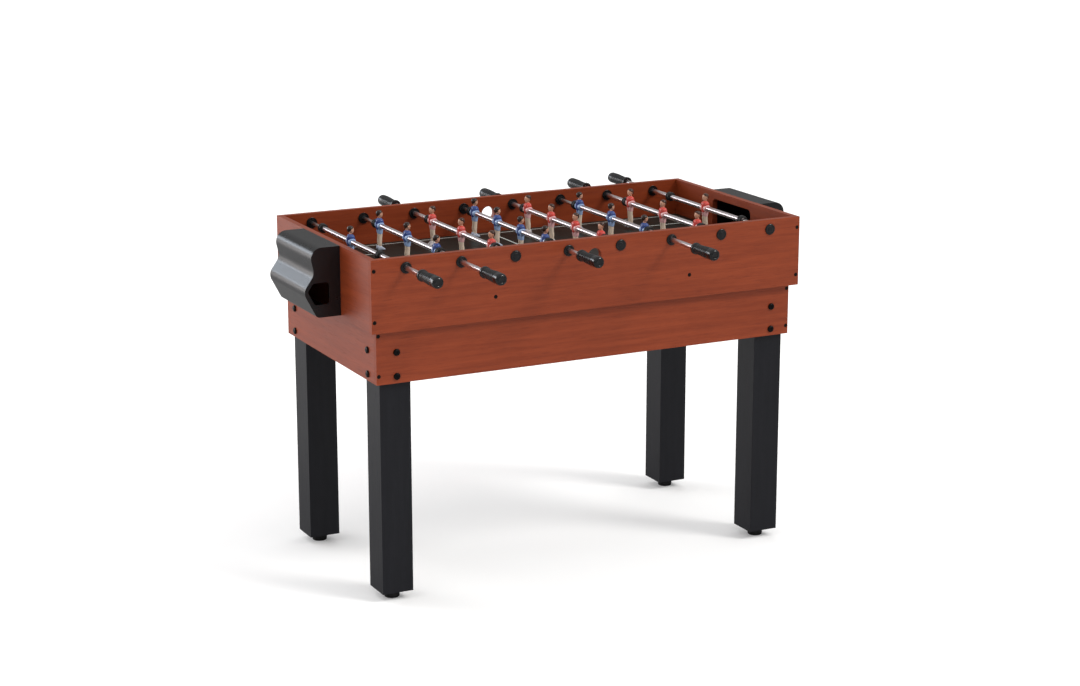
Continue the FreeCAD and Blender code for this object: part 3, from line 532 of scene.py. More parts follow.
def moulded_plastic():
    """Plastic with a slightly uneven tone, a fine moulded grain and rubbed patches."""
    group, inside, out = new_group(
        "moulded_plastic", [("Vector", PLACE, (0, 0, 0)), ("Base", COLOUR, (0, 0, 0, 1)),
                            ("Worn", COLOUR, (1, 1, 1, 1)), ("Wear", NUMBER, 0.1),
                            ("Gloss", NUMBER, 0.3), ("Grain", NUMBER, 900.0)], LOOK)
    vector = inside.outputs["Vector"]
    patch = noise(group, vector, 38, 4, 0.6)
    rub = remap(group, noise(group, stretched(group, vector, (1, 1, 2.5)), 120, 5, 0.65),
                0.52, 0.78)
    grain_node = group.nodes.new("ShaderNodeTexNoise")
    grain_node.inputs["Detail"].default_value = 2
    link(group, vector, grain_node.inputs["Vector"])
    link(group, inside.outputs["Grain"], grain_node.inputs["Scale"])
    grain = grain_node.outputs["Fac"]
    shaded = mixed(group, remap(group, patch, 0.3, 0.7, 0.0, 0.35), inside.outputs["Base"],
                   mixed(group, 0.18, inside.outputs["Base"], inside.outputs["Worn"]))
    colour = mixed(group, maths(group, "MULTIPLY", rub, inside.outputs["Wear"]), shaded,
                   inside.outputs["Worn"])
    link(group, colour, out.inputs["Colour"])
    rough = maths(group, "MULTIPLY_ADD", patch, 0.07, inside.outputs["Gloss"])
    link(group, maths(group, "MULTIPLY_ADD", rub, 0.06, rough), out.inputs["Roughness"])
    link(group, maths(group, "MULTIPLY_ADD", patch, 0.4, grain), out.inputs["Height"])
    return group


def drawn_metal():
    """Bright metal with fine lines along Y, faint smears and a little tarnish."""
    group, inside, out = new_group(
        "drawn_metal", [("Vector", PLACE, (0, 0, 0)), ("Base", COLOUR, (1, 1, 1, 1)),
                        ("Tarnish", COLOUR, (0.4, 0.36, 0.32, 1)), ("Gloss", NUMBER, 0.12)],
        LOOK)
    vector = inside.outputs["Vector"]
    lines = noise(group, stretched(group, vector, (900, 12, 900)), 1.0, 4, 0.6)
    smear = noise(group, stretched(group, vector, (30, 9, 30)), 1.0, 4, 0.6)
    share = remap(group, smear, 0.5, 0.85, 0.0, 0.16)
    link(group, mixed(group, share, inside.outputs["Base"], inside.outputs["Tarnish"]),
         out.inputs["Colour"])
    rough = maths(group, "MULTIPLY_ADD", smear, 0.08, inside.outputs["Gloss"])
    link(group, maths(group, "MULTIPLY_ADD", lines, 0.03, rough), out.inputs["Roughness"])
    link(group, lines, out.inputs["Height"])
    return group


def field_marks():
    """How much of a painted line shows at a place on the playing surface."""
    group, inside, out = new_group(
        "field_marks", [("Vector", PLACE, (0, 0, 0)), ("Width", NUMBER, 5 * MM)],
        [("Mask", NUMBER)])
    parts = group.nodes.new("ShaderNodeSeparateXYZ")
    link(group, inside.outputs["Vector"], parts.inputs[0])
    x = maths(group, "ABSOLUTE", parts.outputs["X"])
    y = maths(group, "ABSOLUTE", parts.outputs["Y"])
    half = maths(group, "MULTIPLY", inside.outputs["Width"], 0.5)

    def near(distance):
        return maths(group, "LESS_THAN", maths(group, "ABSOLUTE", distance), half)

    def either(first, second):
        return maths(group, "MAXIMUM", first, second)

    def both(first, second):
        return maths(group, "MULTIPLY", first, second)

    def frame_line(reach_x, reach_y, from_x):
        """The outline of a box from from_x to reach_x, as wide as reach_y each side."""
        across = both(near(maths(group, "SUBTRACT", x, from_x)),
                      maths(group, "LESS_THAN", y, reach_y))
        along = both(near(maths(group, "SUBTRACT", y, reach_y)),
                     both(maths(group, "GREATER_THAN", x, from_x),
                          maths(group, "LESS_THAN", x, reach_x)))
        return either(across, along)

    def ring(centre_x, radius):
        gap_x = maths(group, "SUBTRACT", x, centre_x)
        reach = maths(group, "SQRT", maths(group, "ADD", both(gap_x, gap_x), both(y, y)))
        return near(maths(group, "SUBTRACT", reach, radius)), reach

    def below(value, limit):
        return maths(group, "LESS_THAN", value, limit)

    circle, reach = ring(0.0, CIRCLE_RADIUS)
    spot = below(reach, SPOT_RADIUS)
    arc, _ = ring(ARC_CENTRE, ARC_RADIUS)
    arc = both(arc, below(x, LARGE_BOX_START))
    marks = both(either(near(x), either(circle, spot)), below(y, FIELD_SIDE))
    ends = both(near(maths(group, "SUBTRACT", x, FIELD_END)), below(y, FIELD_SIDE))
    sides = both(near(maths(group, "SUBTRACT", y, FIELD_SIDE)), below(x, FIELD_END))
    marks = either(marks, either(ends, sides))
    marks = either(marks, frame_line(FIELD_END, LARGE_BOX_REACH, LARGE_BOX_START))
    marks = either(marks, frame_line(FIELD_END, SMALL_BOX_REACH, SMALL_BOX_START))
    link(group, either(marks, arc), out.inputs["Mask"])
    return group


# ---------------------------------------------------------------- materials

GROUPS = {}
MATERIALS = {}


def shared(name):
    makers = {"wood_grain": wood_grain, "moulded_plastic": moulded_plastic,
              "drawn_metal": drawn_metal, "field_marks": field_marks}
    if name not in GROUPS:
        GROUPS[name] = makers[name]()
    return GROUPS[name]


def group_node(tree, name, vector, **values):
    node = tree.nodes.new("ShaderNodeGroup")
    node.node_tree = shared(name)
    link(tree, vector, node.inputs["Vector"])
    for label, value in values.items():
        node.inputs[label].default_value = value
    return node


def new_material(name):
    material = bpy.data.materials.new(name)
    material.use_nodes = True
    tree = material.node_tree
    MATERIALS[name] = material
    return material, tree, tree.nodes["Principled BSDF"]


def object_place(tree, turn=(0, 0, 0), shift=(0, 0, 0)):
    coordinates = tree.nodes.new("ShaderNodeTexCoord")
    mapping = tree.nodes.new("ShaderNodeMapping")
    mapping.inputs["Rotation"].default_value = turn
    mapping.inputs["Location"].default_value = shift
    link(tree, coordinates.outputs["Object"], mapping.inputs["Vector"])
    return mapping.outputs["Vector"]


def raise_surface(tree, shader, height, distance, strength=1.0):
    bump = tree.nodes.new("ShaderNodeBump")
    bump.inputs["Distance"].default_value = distance
    bump.inputs["Strength"].default_value = strength
    link(tree, height, bump.inputs["Height"])
    link(tree, bump.outputs["Normal"], shader.inputs["Normal"])


def wear_look(tree, shader, look, distance, strength=1.0):
    link(tree, look.outputs["Colour"], shader.inputs["Base Color"])
    link(tree, look.outputs["Roughness"], shader.inputs["Roughness"])
    raise_surface(tree, shader, look.outputs["Height"], distance, strength)


def cherry(axis):
    """The cherry laminate with its grain along X or Y."""
    name = f"cherry_laminate_{axis}"
    if name in MATERIALS:
        return MATERIALS[name]
    looks = bpy.context.scene.foosball_cabinet
    material, tree, shader = new_material(name)
    turn, shift = (0, 0, 0), (0, 0, 0)
    if axis == "y":
        turn, shift = (0, 0, math.pi / 2), (3.1, 0, 0.4)
    look = group_node(tree, "wood_grain", object_place(tree, turn, shift),
                      Light=looks.cherry, Dark=looks.cherry_dark)
    wear_look(tree, shader, look, 0.06 * MM)
    shader.inputs["Specular IOR Level"].default_value = CHERRY_SHEEN[axis]
    return material


def plastic(name, base, worn, wear=0.1, gloss=0.3, grain=900.0, bump=0.01 * MM, coat=0.0,
            sheen=0.5):
    if name in MATERIALS:
        return MATERIALS[name]
    material, tree, shader = new_material(name)
    look = group_node(tree, "moulded_plastic", object_place(tree), Base=base, Worn=worn,
                      Wear=wear, Gloss=gloss, Grain=grain)
    wear_look(tree, shader, look, bump)
    shader.inputs["Specular IOR Level"].default_value = sheen
    shader.inputs["Coat Weight"].default_value = coat
    shader.inputs["Coat Roughness"].default_value = 0.12
    return material


def metal(name, base, tarnish, gloss):
    if name in MATERIALS:
        return MATERIALS[name]
    material, tree, shader = new_material(name)
    look = group_node(tree, "drawn_metal", object_place(tree), Base=base, Tarnish=tarnish,
                      Gloss=gloss)
    wear_look(tree, shader, look, 0.002 * MM, 0.5)
    shader.inputs["Metallic"].default_value = 1.0
    return material


def leg_foil():
    if "leg_foil" in MATERIALS:
        return MATERIALS["leg_foil"]
    base = bpy.context.scene.foosball_cabinet.leg_foil
    material, tree, shader = new_material("leg_foil")
    pale = tuple(1.7 * c + 0.002 for c in base[:3]) + (1,)
    look = group_node(tree, "wood_grain", object_place(tree, (0, math.pi / 2, 0)),
                      Light=pale, Dark=base)
    wear_look(tree, shader, look, 0.05 * MM)
    shader.inputs["Specular IOR Level"].default_value = 0.3
    return material


def playing_surface():
    looks = bpy.context.scene.foosball_cabinet
    material, tree, shader = new_material("field_laminate")
    place = object_place(tree)
    look = group_node(tree, "moulded_plastic", place, Base=looks.field,
                      Worn=(0.05, 0.06, 0.055, 1), Wear=0.25, Gloss=0.30, Grain=1400.0)
    marks = group_node(tree, "field_marks", place, Width=looks.line_width)
    paint = maths(tree, "MULTIPLY", marks.outputs["Mask"],
                  remap(tree, noise(tree, place, 220, 5, 0.7), 0.3, 0.5, 0.72, 0.95))
    link(tree, mixed(tree, paint, look.outputs["Colour"], tuple(looks.field_lines)),
         shader.inputs["Base Color"])
    link(tree, look.outputs["Roughness"], shader.inputs["Roughness"])
    shader.inputs["Specular IOR Level"].default_value = 0.16
    raise_surface(tree, shader, look.outputs["Height"], 0.02 * MM)
    return material


def raw_board():
    material, tree, shader = new_material("raw_board")
    place = object_place(tree)
    look = group_node(tree, "moulded_plastic", place, Base=(0.36, 0.24, 0.14, 1),
                      Worn=(0.16, 0.09, 0.05, 1), Wear=0.8, Gloss=0.62, Grain=420.0)
    wear_look(tree, shader, look, 0.25 * MM)
    return material


# ---------------------------------------------------------------- pieces

def make_boards(nodes):
    width = bpy.context.scene.foosball_cabinet.board_edge
    for node, axis in nodes.items():
        piece = softened(node, f"{node}_board", width)
        dress(piece, cherry(axis))
        settle(piece, "cabinet", "cherry_laminate", node)


def make_legs():
    width = bpy.context.scene.foosball_cabinet.board_edge
    for corner in CORNERS:
        piece = softened(f"leg_{corner}", f"leg_{corner}_post", width)
        dress(piece, leg_foil())
        settle(piece, "cabinet", "leg_foil", f"leg_{corner}")


def make_feet():
    """Moulded pads with a gripping edge, on plain stems."""
    looks = bpy.context.scene.foosball_fittings
    rings = [(15, 0), (17.5, 0), (18.6, 1.2), (18.6, 4), (19, 4.6), (19, 13), (18.2, 15.6),
             (16, 17.3), (12.5, 18), (7.5, 18), (6.6, 18.2), (6.6, 21), (5, 21), (5, 60),
             (4.2, 61)]
    rim_middle = 8.8 * MM
    master = turned("foot_master", from_mm(rings), FOOT_SIDES)
    sink_faces(master, lambda face: (abs(face.center.z - rim_middle) < 1 * MM
                                     and face.index % 2 == 0), 0.25 * MM, 0.5 * MM)
    smooth(master, 35)
    dress(master, plastic("foot_plastic", looks.black, (0.10, 0.10, 0.10, 1), 0.25, 0.38))
    for corner in CORNERS:
        at = middle(f"foot_{corner}")
        piece = copies(master, f"foot_{corner}_pad", [Matrix.Translation((at.x, at.y, 0))])
        settle(piece, f"foot_{corner}", "foot_plastic", f"foot_{corner}")
    drop(master)


def make_ball_boxes():
    looks = bpy.context.scene.foosball_fittings
    shell = plastic("gloss_black_plastic", looks.black, (0.008, 0.008, 0.009, 1), 0.15, 0.25,
                    grain=700.0, bump=0.002 * MM)
    for hand in ("left", "right"):
        piece = softened(f"{hand}_ball_box", f"{hand}_ball_box_shell", looks.ball_box_edge, 60)
        dress(piece, shell)
        settle(piece, "cabinet", "gloss_black_plastic", f"{hand}_ball_box")


def bearing_plastic():
    looks = bpy.context.scene.foosball_fittings
    return plastic("bearing_plastic", looks.black, (0.05, 0.05, 0.055, 1), 0.2, 0.26)


def make_bearings():
    """Flanged bushings on the handle sides, domed caps on the blind ones, and their nuts."""
    bushing = [(6.5, 0), (8.4, 0), (9, 0.6), (9, 20), (13.2, 20), (14, 20.6), (14, 22.4),
               (13.4, 23.4), (12.2, 24), (10.6, 24), (10.2, 23.4), (9.4, 23.4), (9, 24),
               (7.6, 24), (6.5, 23.2), (6.5, 0)]
    cap = [(4.9, 0), (8.4, 0), (9, 0.6), (9, 20), (13.2, 20), (14, 20.6), (14, 21.8),
           (13.3, 22.8), (11.4, 23.4), (9.2, 23.5), (8.6, 23.1), (7.6, 23.1), (7, 23.6),
           (4, 24), (1.2, 24)]
    nut = [(9.1, 0), (13, 0), (14, 1), (14, 4.4), (13.4, 5), (9.1, 5), (9.1, 0)]
    made = (("bushing", bushing, "rod_bushings", True),
            ("blind_cap", cap, "blind_caps", False),
            ("ring_nut", nut, "bushing_nuts", True))
    for name, rings, node, bored in made:
        master = turned(name, from_mm(rings), BEARING_SIDES, bored)
        if name == "ring_nut":
            notch_nut(master)
        smooth(master, 40)
        piece = copies(master, f"{node}_turned", [outwards(*box) for box in solids_of(node)])
        drop(master)
        dress(piece, bearing_plastic())
        settle(piece, "cabinet", "bearing_plastic", node)


def notch_nut(nut):
    """Sinks grip notches round the nut's edge."""
    edge_radius, edge_middle = 13 * MM, 2.7 * MM

    def notched(face):
        return (math.hypot(face.center.x, face.center.y) > edge_radius
                and abs(face.center.z - edge_middle) < 0.5 * MM and face.index % 4 == 0)

    sink_faces(nut, notched, 0.2 * MM, 0.7 * MM)


def cross_cutter(reach, depth):
    """A cross that narrows downwards, to cut a screw's recess with its top at height 0."""
    slot_width, taper_along, taper_across = 0.32 * reach, 0.45, 0.7
    bars = []
    for turn in (0, math.pi / 2):
        clear_selection()
        bpy.ops.mesh.primitive_cube_add(size=1, location=(0, 0, 0), rotation=(0, 0, turn))
        bar = bpy.context.object
        bar.scale = (2 * reach, slot_width, 2 * depth)
        set_in_place(bar)
        for vertex in bar.data.vertices:
            if vertex.co.z < 0:
                vertex.co.x *= taper_along
                vertex.co.y *= taper_across
        bars.append(bar)
    apply_modifier(bars[0], "BOOLEAN", operation="UNION", object=bars[1], solver="EXACT")
    drop(bars[1])
    return bars[0]


def screw(name, rings, recess):
    """A screw along -Z with the top of its head at height 0 and a cross recess."""
    piece = turned(name, from_mm(rings), SCREW_SIDES)
    cutter = cross_cutter(recess * MM, 1.4 * MM)
    apply_modifier(piece, "BOOLEAN", operation="DIFFERENCE", object=cutter, solver="EXACT")
    drop(cutter)
    seal(piece)
    return smooth(piece, 35)


def set_screws(node, rings, recess, steel):
    """Stands a screw at each packed one of its kind."""
    master = screw(f"{node}_master", rings, recess)
    piece = copies(master, f"{node}_turned", [outer_end(box) for box in solids_of(node)])
    drop(master)
    dress(piece, steel)
    settle(piece, "cabinet", "dark_screw", node)


def make_screws():
    """Countersunk corner and ledger screws, and round-headed ball box screws."""
    steel = metal("dark_screw", (0.035, 0.028, 0.026, 1), (0.10, 0.06, 0.045, 1), 0.34)
    kinds = (("corner_screws", [(0.6, -44), (1.4, -42), (2, -39), (2, -3), (4.6, -0.5),
                                (4.9, -0.25), (4.7, 0)], 2.9),
             ("ledger_screws", [(0.6, -34.5), (1.4, -33), (2, -30), (2, -3), (4.6, -0.5),
                                (4.9, -0.25), (4.7, 0)], 2.9),
             ("ball_box_screws", [(0.6, -17), (1.4, -15.5), (2, -13), (2, -2.5), (4, -2.5),
                                  (4, -1.6), (3.3, -0.6), (2.0, -0.08), (1.8, 0)], 2.0))
    for node, rings, recess in kinds:
        set_screws(node, rings, recess, steel)


def make_leg_bolts():
    """Round-headed bolts with a cross recess through the apron into the legs."""
    steel = metal("dark_bolt", (0.022, 0.020, 0.021, 1), (0.08, 0.06, 0.05, 1), 0.30)
    rings = [(2.6, -47), (4, -45.4), (4, -5), (8.1, -5), (8.5, -4.6), (8.5, -3), (8.1, -1.9),
             (7.2, -0.9), (5.6, -0.25), (4.2, 0)]
    set_screws("leg_bolts", rings, 3.4, steel)


def outer_end(box):
    """The outward end of a screw's solid, as a place to stand its head."""
    low, high = box
    span = high - low
    axis = max(range(3), key=lambda index: span[index])
    at = (low + high) / 2
    side = 1 if at[axis] > 0 else -1
    at[axis] = high[axis] if side > 0 else low[axis]
    direction = Vector((0, 0, 0))
    direction[axis] = side
    return standing_at(at, direction)


def bar(name, low, high, bore):
    """A round bar along Y that fills a box, with chamfered ends; bore is its inner radius."""
    radius, length = (high.x - low.x) / 2, high.y - low.y
    rings = [(radius - CHAMFER, 0), (radius, CHAMFER), (radius, length - CHAMFER),
             (radius - CHAMFER, length)]
    if bore:
        rings = [(bore, 0), *rings, (bore, length), (bore, 0)]
    piece = turned(name, rings, ROD_SIDES, bool(bore))
    smooth(piece, 30)
    piece.data.transform(along_rods(low, high))
    return piece


def make_rods():
    looks = bpy.context.scene.foosball_fittings
    # The chrome tube's pink tint comes from the steel colour: a painted reflection of the cherry
    # cabinet.
    chrome = metal("chrome_tube", looks.steel, (0.52, 0.46, 0.45, 1), 0.24)
    dull = metal("steel_rod", (0.50, 0.49, 0.48, 1), (0.24, 0.20, 0.17, 1), 0.26)
    for rod in RODS:
        low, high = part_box(f"{rod}_rod")
        piece = bar(f"{rod}_tube", low, high, TUBE_BORE)
        dress(piece, chrome)
        settle(piece, f"{rod}_rod_set", "chrome_tube", f"{rod}_rod")
    pieces = [bar(f"inner_rod_{number}", low, high, 0)
              for number, (low, high) in enumerate(solids_of("inner_rods"))]
    piece = merged("inner_rods_turned", pieces)
    dress(piece, dull)
    settle(piece, "cabinet", "steel_rod", "inner_rods")


def make_bumpers():
    looks = bpy.context.scene.foosball_fittings
    rings = [(6.6, 0), (10.4, 0), (11.6, 0.6), (12, 1.8), (12, 4), (11.2, 4.6), (11.2, 5.8),
             (12, 6.4), (12, 8.6), (11.2, 9.2), (11.2, 10.4), (12, 11), (12, 13.2),
             (11.6, 14.4), (10.4, 15), (6.6, 15), (6.6, 0)]
    master = turned("bumper_master", from_mm(rings), BUMPER_SIDES, True)
    smooth(master, 35)
    dress(master, plastic("bumper_rubber", looks.black, (0.10, 0.10, 0.10, 1), 0.3, 0.48))
    for rod in RODS:
        node = f"{rod}_bumpers"
        places = [along_rods(*box) for box in solids_of(node)]
        piece = copies(master, f"{rod}_bumper_rings", places)
        settle(piece, f"{rod}_bumper_pair", "bumper_rubber", node)
    drop(master)


def grip_rings():
    """Radius and height of each ring of a handle, from its inner end, in millimetres."""
    looks = bpy.context.scene.foosball_fittings
    depth = looks.rib_depth / MM
    rings = [(6.5, 14), (6.5, 0.6), (7.2, 0), (13.2, 0), (14.1, 0.5), (14.4, 1.4), (14.4, 6),
             (14.1, 7.2), (13.3, 8.4), (12.4, 9.2)]
    start, end = 11.0, 69.0
    waist, growth, growth_start, growth_length = 12.4, 2.1, 16, 52
    pitch = (end - start) / looks.grip_ribs

    def swell(height):
        share = max(0.0, min(1.0, (height - growth_start) / growth_length))
        return waist + growth * share * share * (3 - 2 * share)

    for number in range(looks.grip_ribs):
        base = start + number * pitch
        for share, dip in ((0.0, depth), (0.12, depth), (0.30, 0.25 * depth), (0.45, 0.0),
                           (0.68, 0.0), (0.84, 0.25 * depth)):
            height = base + share * pitch
            rings.append((swell(height) - dip, height))
    rings += [(13.7, 69.4), (13.7, 70.6), (14.3, 71.4), (14.5, 72.6), (14.5, 84), (14.4, 87.5),
              (13.7, 90.6), (12.3, 93), (10.1, 94.5), (8.2, 95), (7.4, 94.6), (6.6, 94.1),
              (2.0, 94)]
    return rings


def make_handles():
    """Ribbed grips: a collar, a slim waist and a thicker rounded end."""
    looks = bpy.context.scene.foosball_fittings
    master = turned("grip_master", from_mm(grip_rings()), GRIP_SIDES)
    smooth(master, 38)
    dress(master, plastic("grip_plastic", looks.black, (0.020, 0.020, 0.022, 1), 0.25, 0.22,
                          coat=0.2))
    for rod in RODS:
        low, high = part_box(f"{rod}_handle")
        piece = copies(master, f"{rod}_grip", [outwards(low, high)])
        settle(piece, f"{rod}_rod_set", "grip_plastic", f"{rod}_handle")
    drop(master)


# ---------------------------------------------------------------- men

def part(name, sections, sides=12, levels=1):
    """One moulded part of a man, from sections in millimetres."""
    piece = loft(name, [tuple(value * MM for value in section) for section in sections], sides)
    if levels:
        apply_modifier(piece, "SUBSURF", levels=levels, render_levels=levels)
    return piece


def man_parts():
    """The parts of a man by finish, facing +X with his rod along Y through the origin."""
    parts = {"jersey": [], "shorts": [], "skin": [], "hair": [], "legs": [], "boots": [],
             "eyes": []}
    # The hub takes the pale shorts colour, which partly paints the key light's highlight on its
    # end.
    hub = turned("hub", from_mm((
        (6.45, -13), (8.2, -13), (9.0, -12.4), (9.3, -11.4), (9.3, 11.4), (9.0, 12.4),
        (8.2, 13), (6.45, 13), (6.45, -13))), HUB_SIDES, True)
    hub.data.transform(turn_towards(ALONG_RODS))
    parts["shorts"].append(hub)
    parts["jersey"].append(part("chest", [
        (-12.0, 6.2, 8.0, 0, 0), (-11.2, 8.6, 9.0, 0, 0), (-6.5, 10.0, 9.6, 0, 0),
        (0.0, 10.2, 9.8, 0, 0), (6.0, 10.2, 10.2, 0, 0), (11.5, 10.0, 10.9, 0, 0),
        (14.6, 9.0, 11.2, 0, 0), (16.8, 6.8, 10.0, -0.1, 0), (18.2, 4.8, 6.8, -0.2, 0),
        (19.0, 3.9, 4.6, -0.3, 0)], 16))
    parts["skin"].append(part("neck", [
        (16.5, 4.1, 4.1, -0.4, 0), (19.5, 3.8, 3.8, -0.2, 0), (23.0, 3.9, 3.9, 0, 0)]))
    parts["skin"].append(part("head", [
        (20.0, 2.6, 2.6, 2.6, 0), (21.0, 4.6, 4.3, 2.1, 0), (23.4, 6.6, 5.8, 1.2, 0),
        (26.4, 7.7, 6.8, 0.5, 0), (29.6, 8.2, 7.3, 0.1, 0), (32.8, 8.2, 7.3, -0.2, 0),
        (35.4, 7.1, 6.4, -0.4, 0), (37.2, 5.0, 4.5, -0.5, 0), (37.9, 2.3, 2.1, -0.5, 0)], 16))
    parts["skin"].append(part("nose", [
        (25.8, 1.3, 1.3, 7.9, 0), (27.2, 1.8, 1.5, 8.0, 0), (29.2, 1.0, 1.0, 7.8, 0),
        (30.8, 0.6, 0.6, 7.5, 0)], 8))
    cap = part("hair", [
        (23.6, 5.6, 6.4, -1.6, 0), (25.4, 7.4, 7.3, -1.1, 0), (29.6, 8.6, 7.9, -0.8, 0),
        (33.2, 8.8, 8.1, -0.7, 0), (36.2, 7.6, 7.0, -0.7, 0), (38.2, 5.2, 4.8, -0.8, 0),
        (38.95, 2.4, 2.2, -0.8, 0)], 16)
    cut_off(cap, HAIRLINE, HAIRLINE_SLOPE)
    parts["hair"].append(cap)
    for side in SIDES:
        parts["jersey"].append(part(f"sleeve_{side}", [
            (3.4, 4.6, 1.8, 0.9, 9.9 * side), (4.6, 6.4, 2.7, 0.8, 10.0 * side),
            (8.8, 7.4, 3.0, 0.4, 10.0 * side), (13.2, 6.8, 3.0, 0.0, 9.8 * side),
            (16.4, 4.4, 2.3, -0.1, 9.0 * side)]))
        parts["skin"].append(part(f"forearm_{side}", [
            (-5.2, 1.4, 1.2, 7.9, 10.2 * side), (-4.0, 2.2, 1.9, 7.7, 10.4 * side),
            (-0.6, 2.0, 1.8, 7.0, 10.6 * side), (2.8, 2.5, 2.0, 5.2, 10.6 * side),
            (6.0, 3.0, 2.0, 3.4, 10.2 * side)], 10))
        parts["skin"].append(part(f"ear_{side}", [
            (26.6, 0.9, 0.6, -0.2, 7.2 * side), (28.4, 1.6, 0.9, -0.2, 7.5 * side),
            (30.4, 1.4, 0.8, -0.4, 7.6 * side), (31.6, 0.7, 0.5, -0.4, 7.4 * side)], 8))
        parts["eyes"].append(part(f"eye_{side}", [
            (29.3, 0.35, 0.5, 7.75, 2.8 * side), (29.9, 0.7, 1.0, 7.65, 2.8 * side),
            (30.5, 0.35, 0.5, 7.6, 2.8 * side)], 8))
        parts["shorts"].append(part(f"shorts_{side}", [
            (-22.0, 5.0, 4.2, 0.2, 5.2 * side), (-21.0, 5.9, 4.9, 0.2, 5.1 * side),
            (-16.0, 6.8, 5.1, 0.1, 4.7 * side), (-10.5, 7.6, 5.2, 0, 4.5 * side),
            (-6.0, 7.0, 4.8, 0, 4.4 * side)]))
        parts["legs"].append(part(f"leg_{side}", [
            (-56.0, 3.4, 2.9, -0.8, 6.6 * side), (-51.0, 3.4, 3.0, -1.0, 6.5 * side),
            (-44.0, 4.4, 3.6, -1.2, 6.1 * side), (-37.0, 4.8, 3.9, -0.9, 5.7 * side),
            (-31.0, 4.4, 3.7, 0.0, 5.3 * side), (-25.0, 5.0, 4.1, 0.3, 5.0 * side),
            (-18.0, 5.6, 4.5, 0.2, 4.8 * side)]))
        boot = part(f"boot_{side}", [
            (-8.0, 3.2, 2.4, 59.6, 6.5 * side), (-7.2, 4.6, 3.3, 59.4, 6.5 * side),
            (-3.6, 7.2, 3.9, 57.6, 6.5 * side), (1.6, 6.8, 3.9, 58.0, 6.5 * side),
            (5.4, 4.3, 4.1, 60.5, 6.4 * side), (9.6, 3.2, 3.9, 61.6, 6.4 * side),
            (11.4, 2.3, 2.9, 62.3, 6.4 * side), (12.0, 1.3, 1.8, 62.8, 6.4 * side)], 12)
        boot.data.transform(Matrix.Rotation(math.pi / 2, 4, "Y"))
        cut_off(boot, (0, 0, SOLE_HEIGHT), (0, 0, -1))
        parts["boots"].append(boot)
    parts["eyes"].append(part("mouth", [
        (23.6, 0.3, 1.4, 7.25, 0), (24.0, 0.5, 2.1, 7.35, 0), (24.4, 0.3, 1.4, 7.5, 0)], 8))
    return parts


def clear_bore(pieces):
    """Makes room in a man's parts for the tube that runs through him."""
    room = turned("rod_room", [(HUB_BORE, -MAN_REACH), (HUB_BORE, MAN_REACH)], HUB_SIDES)
    room.data.transform(turn_towards(ALONG_RODS))
    for piece in pieces:
        apply_modifier(piece, "BOOLEAN", operation="DIFFERENCE", object=room, solver="EXACT")
        seal(piece)
    drop(room)


def make_man(team):
    """A man in his team's colours as one piece."""
    looks = bpy.context.scene.foosball_men
    blue = team == "blue"
    finishes = {
        "jersey": (looks.blue_jersey if blue else looks.red_jersey, (0.55, 0.5, 0.5, 1), 0.16),
        "shorts": (looks.blue_shorts_and_hub_highlight if blue else looks.red_shorts_and_hub_highlight, (0.75, 0.72, 0.7, 1), 0.2),
        "skin": (looks.skin, (0.62, 0.45, 0.35, 1), 0.15),
        "hair": (looks.hair_dark if blue else looks.hair_brown, (0.12, 0.08, 0.06, 1), 0.15),
        "legs": (looks.legs, (0.35, 0.26, 0.2, 1), 0.12),
        "boots": ((0.42, 0.46, 0.56, 1) if blue else (0.55, 0.5, 0.5, 1),
                  (0.2, 0.18, 0.18, 1), 0.25),
        "eyes": ((0.02, 0.012, 0.010, 1), (0.08, 0.05, 0.04, 1), 0.1),
    }
    made = []
    parts = man_parts()
    clear_bore([piece for finish in ("jersey", "shorts", "skin") for piece in parts[finish]
                if piece.name.startswith(CROSSED)])
    for finish, pieces in parts.items():
        base, worn, wear = finishes[finish]
        material = plastic(f"{team}_{finish}_plastic", base, worn, wear, 0.30, grain=1500.0,
                           bump=0.012 * MM, coat=0.15)
        for piece in pieces:
            dress(piece, material)
            made.append(piece)
    man = merged(f"{team}_man", made)
    return smooth(man, 50)


def make_men():
    masters = {team: make_man(team) for team in ("blue", "red")}
    for rod in RODS:
        team = rod.split("_")[0]
        turn = Matrix.Rotation(0 if team == "blue" else math.pi, 4, "Z")
        at = middle(f"{rod}_rod")
        places = []
        for low, high in solids_of(f"{rod}_men"):
            places.append(Matrix.Translation((at.x, (low.y + high.y) / 2, at.z)) @ turn)
        piece = copies(masters[team], f"{rod}_figures", places)
        settle(piece, f"{rod}_rod_set", f"{team}_men_plastic", f"{rod}_men")
    drop(*masters.values())


# ---------------------------------------------------------------- stage

def make_floor():
    looks = bpy.context.scene.foosball_stage
    clear_selection()
    bpy.ops.mesh.primitive_plane_add(size=120, location=(0, 0, 0))
    floor = named(bpy.context.object, "floor")
    material, tree, shader = new_material("pale_floor")
    place = object_place(tree)
    tone = noise(tree, place, 3, 4, 0.5)
    base = tuple(looks.floor)
    soft = tuple(0.97 * c for c in base[:3]) + (1,)
    rays = tree.nodes.new("ShaderNodeLightPath")
    dim = tuple(looks.floor_reflected * c for c in base[:3]) + (1,)
    seen = mixed(tree, rays.outputs["Is Glossy Ray"], mixed(tree, tone, soft, base), dim)
    link(tree, seen, shader.inputs["Base Color"])
    lift = maths(tree, "MULTIPLY", rays.outputs["Is Camera Ray"], looks.floor_lift)
    link(tree, lift, shader.inputs["Emission Strength"])
    shader.inputs["Emission Color"].default_value = base
    shader.inputs["Roughness"].default_value = 0.75
    dress(floor, material)


def add_light(kind, name, energy, location, target, **settings):
    data = bpy.data.lights.new(name, kind)
    data.energy = energy
    for key, value in settings.items():
        setattr(data, key, value)
    light = bpy.data.objects.new(name, data)
    bpy.context.scene.collection.objects.link(light)
    light.location = location
    aim = Vector(target) - Vector(location)
    light.rotation_euler = aim.to_track_quat("-Z", "Y").to_euler()


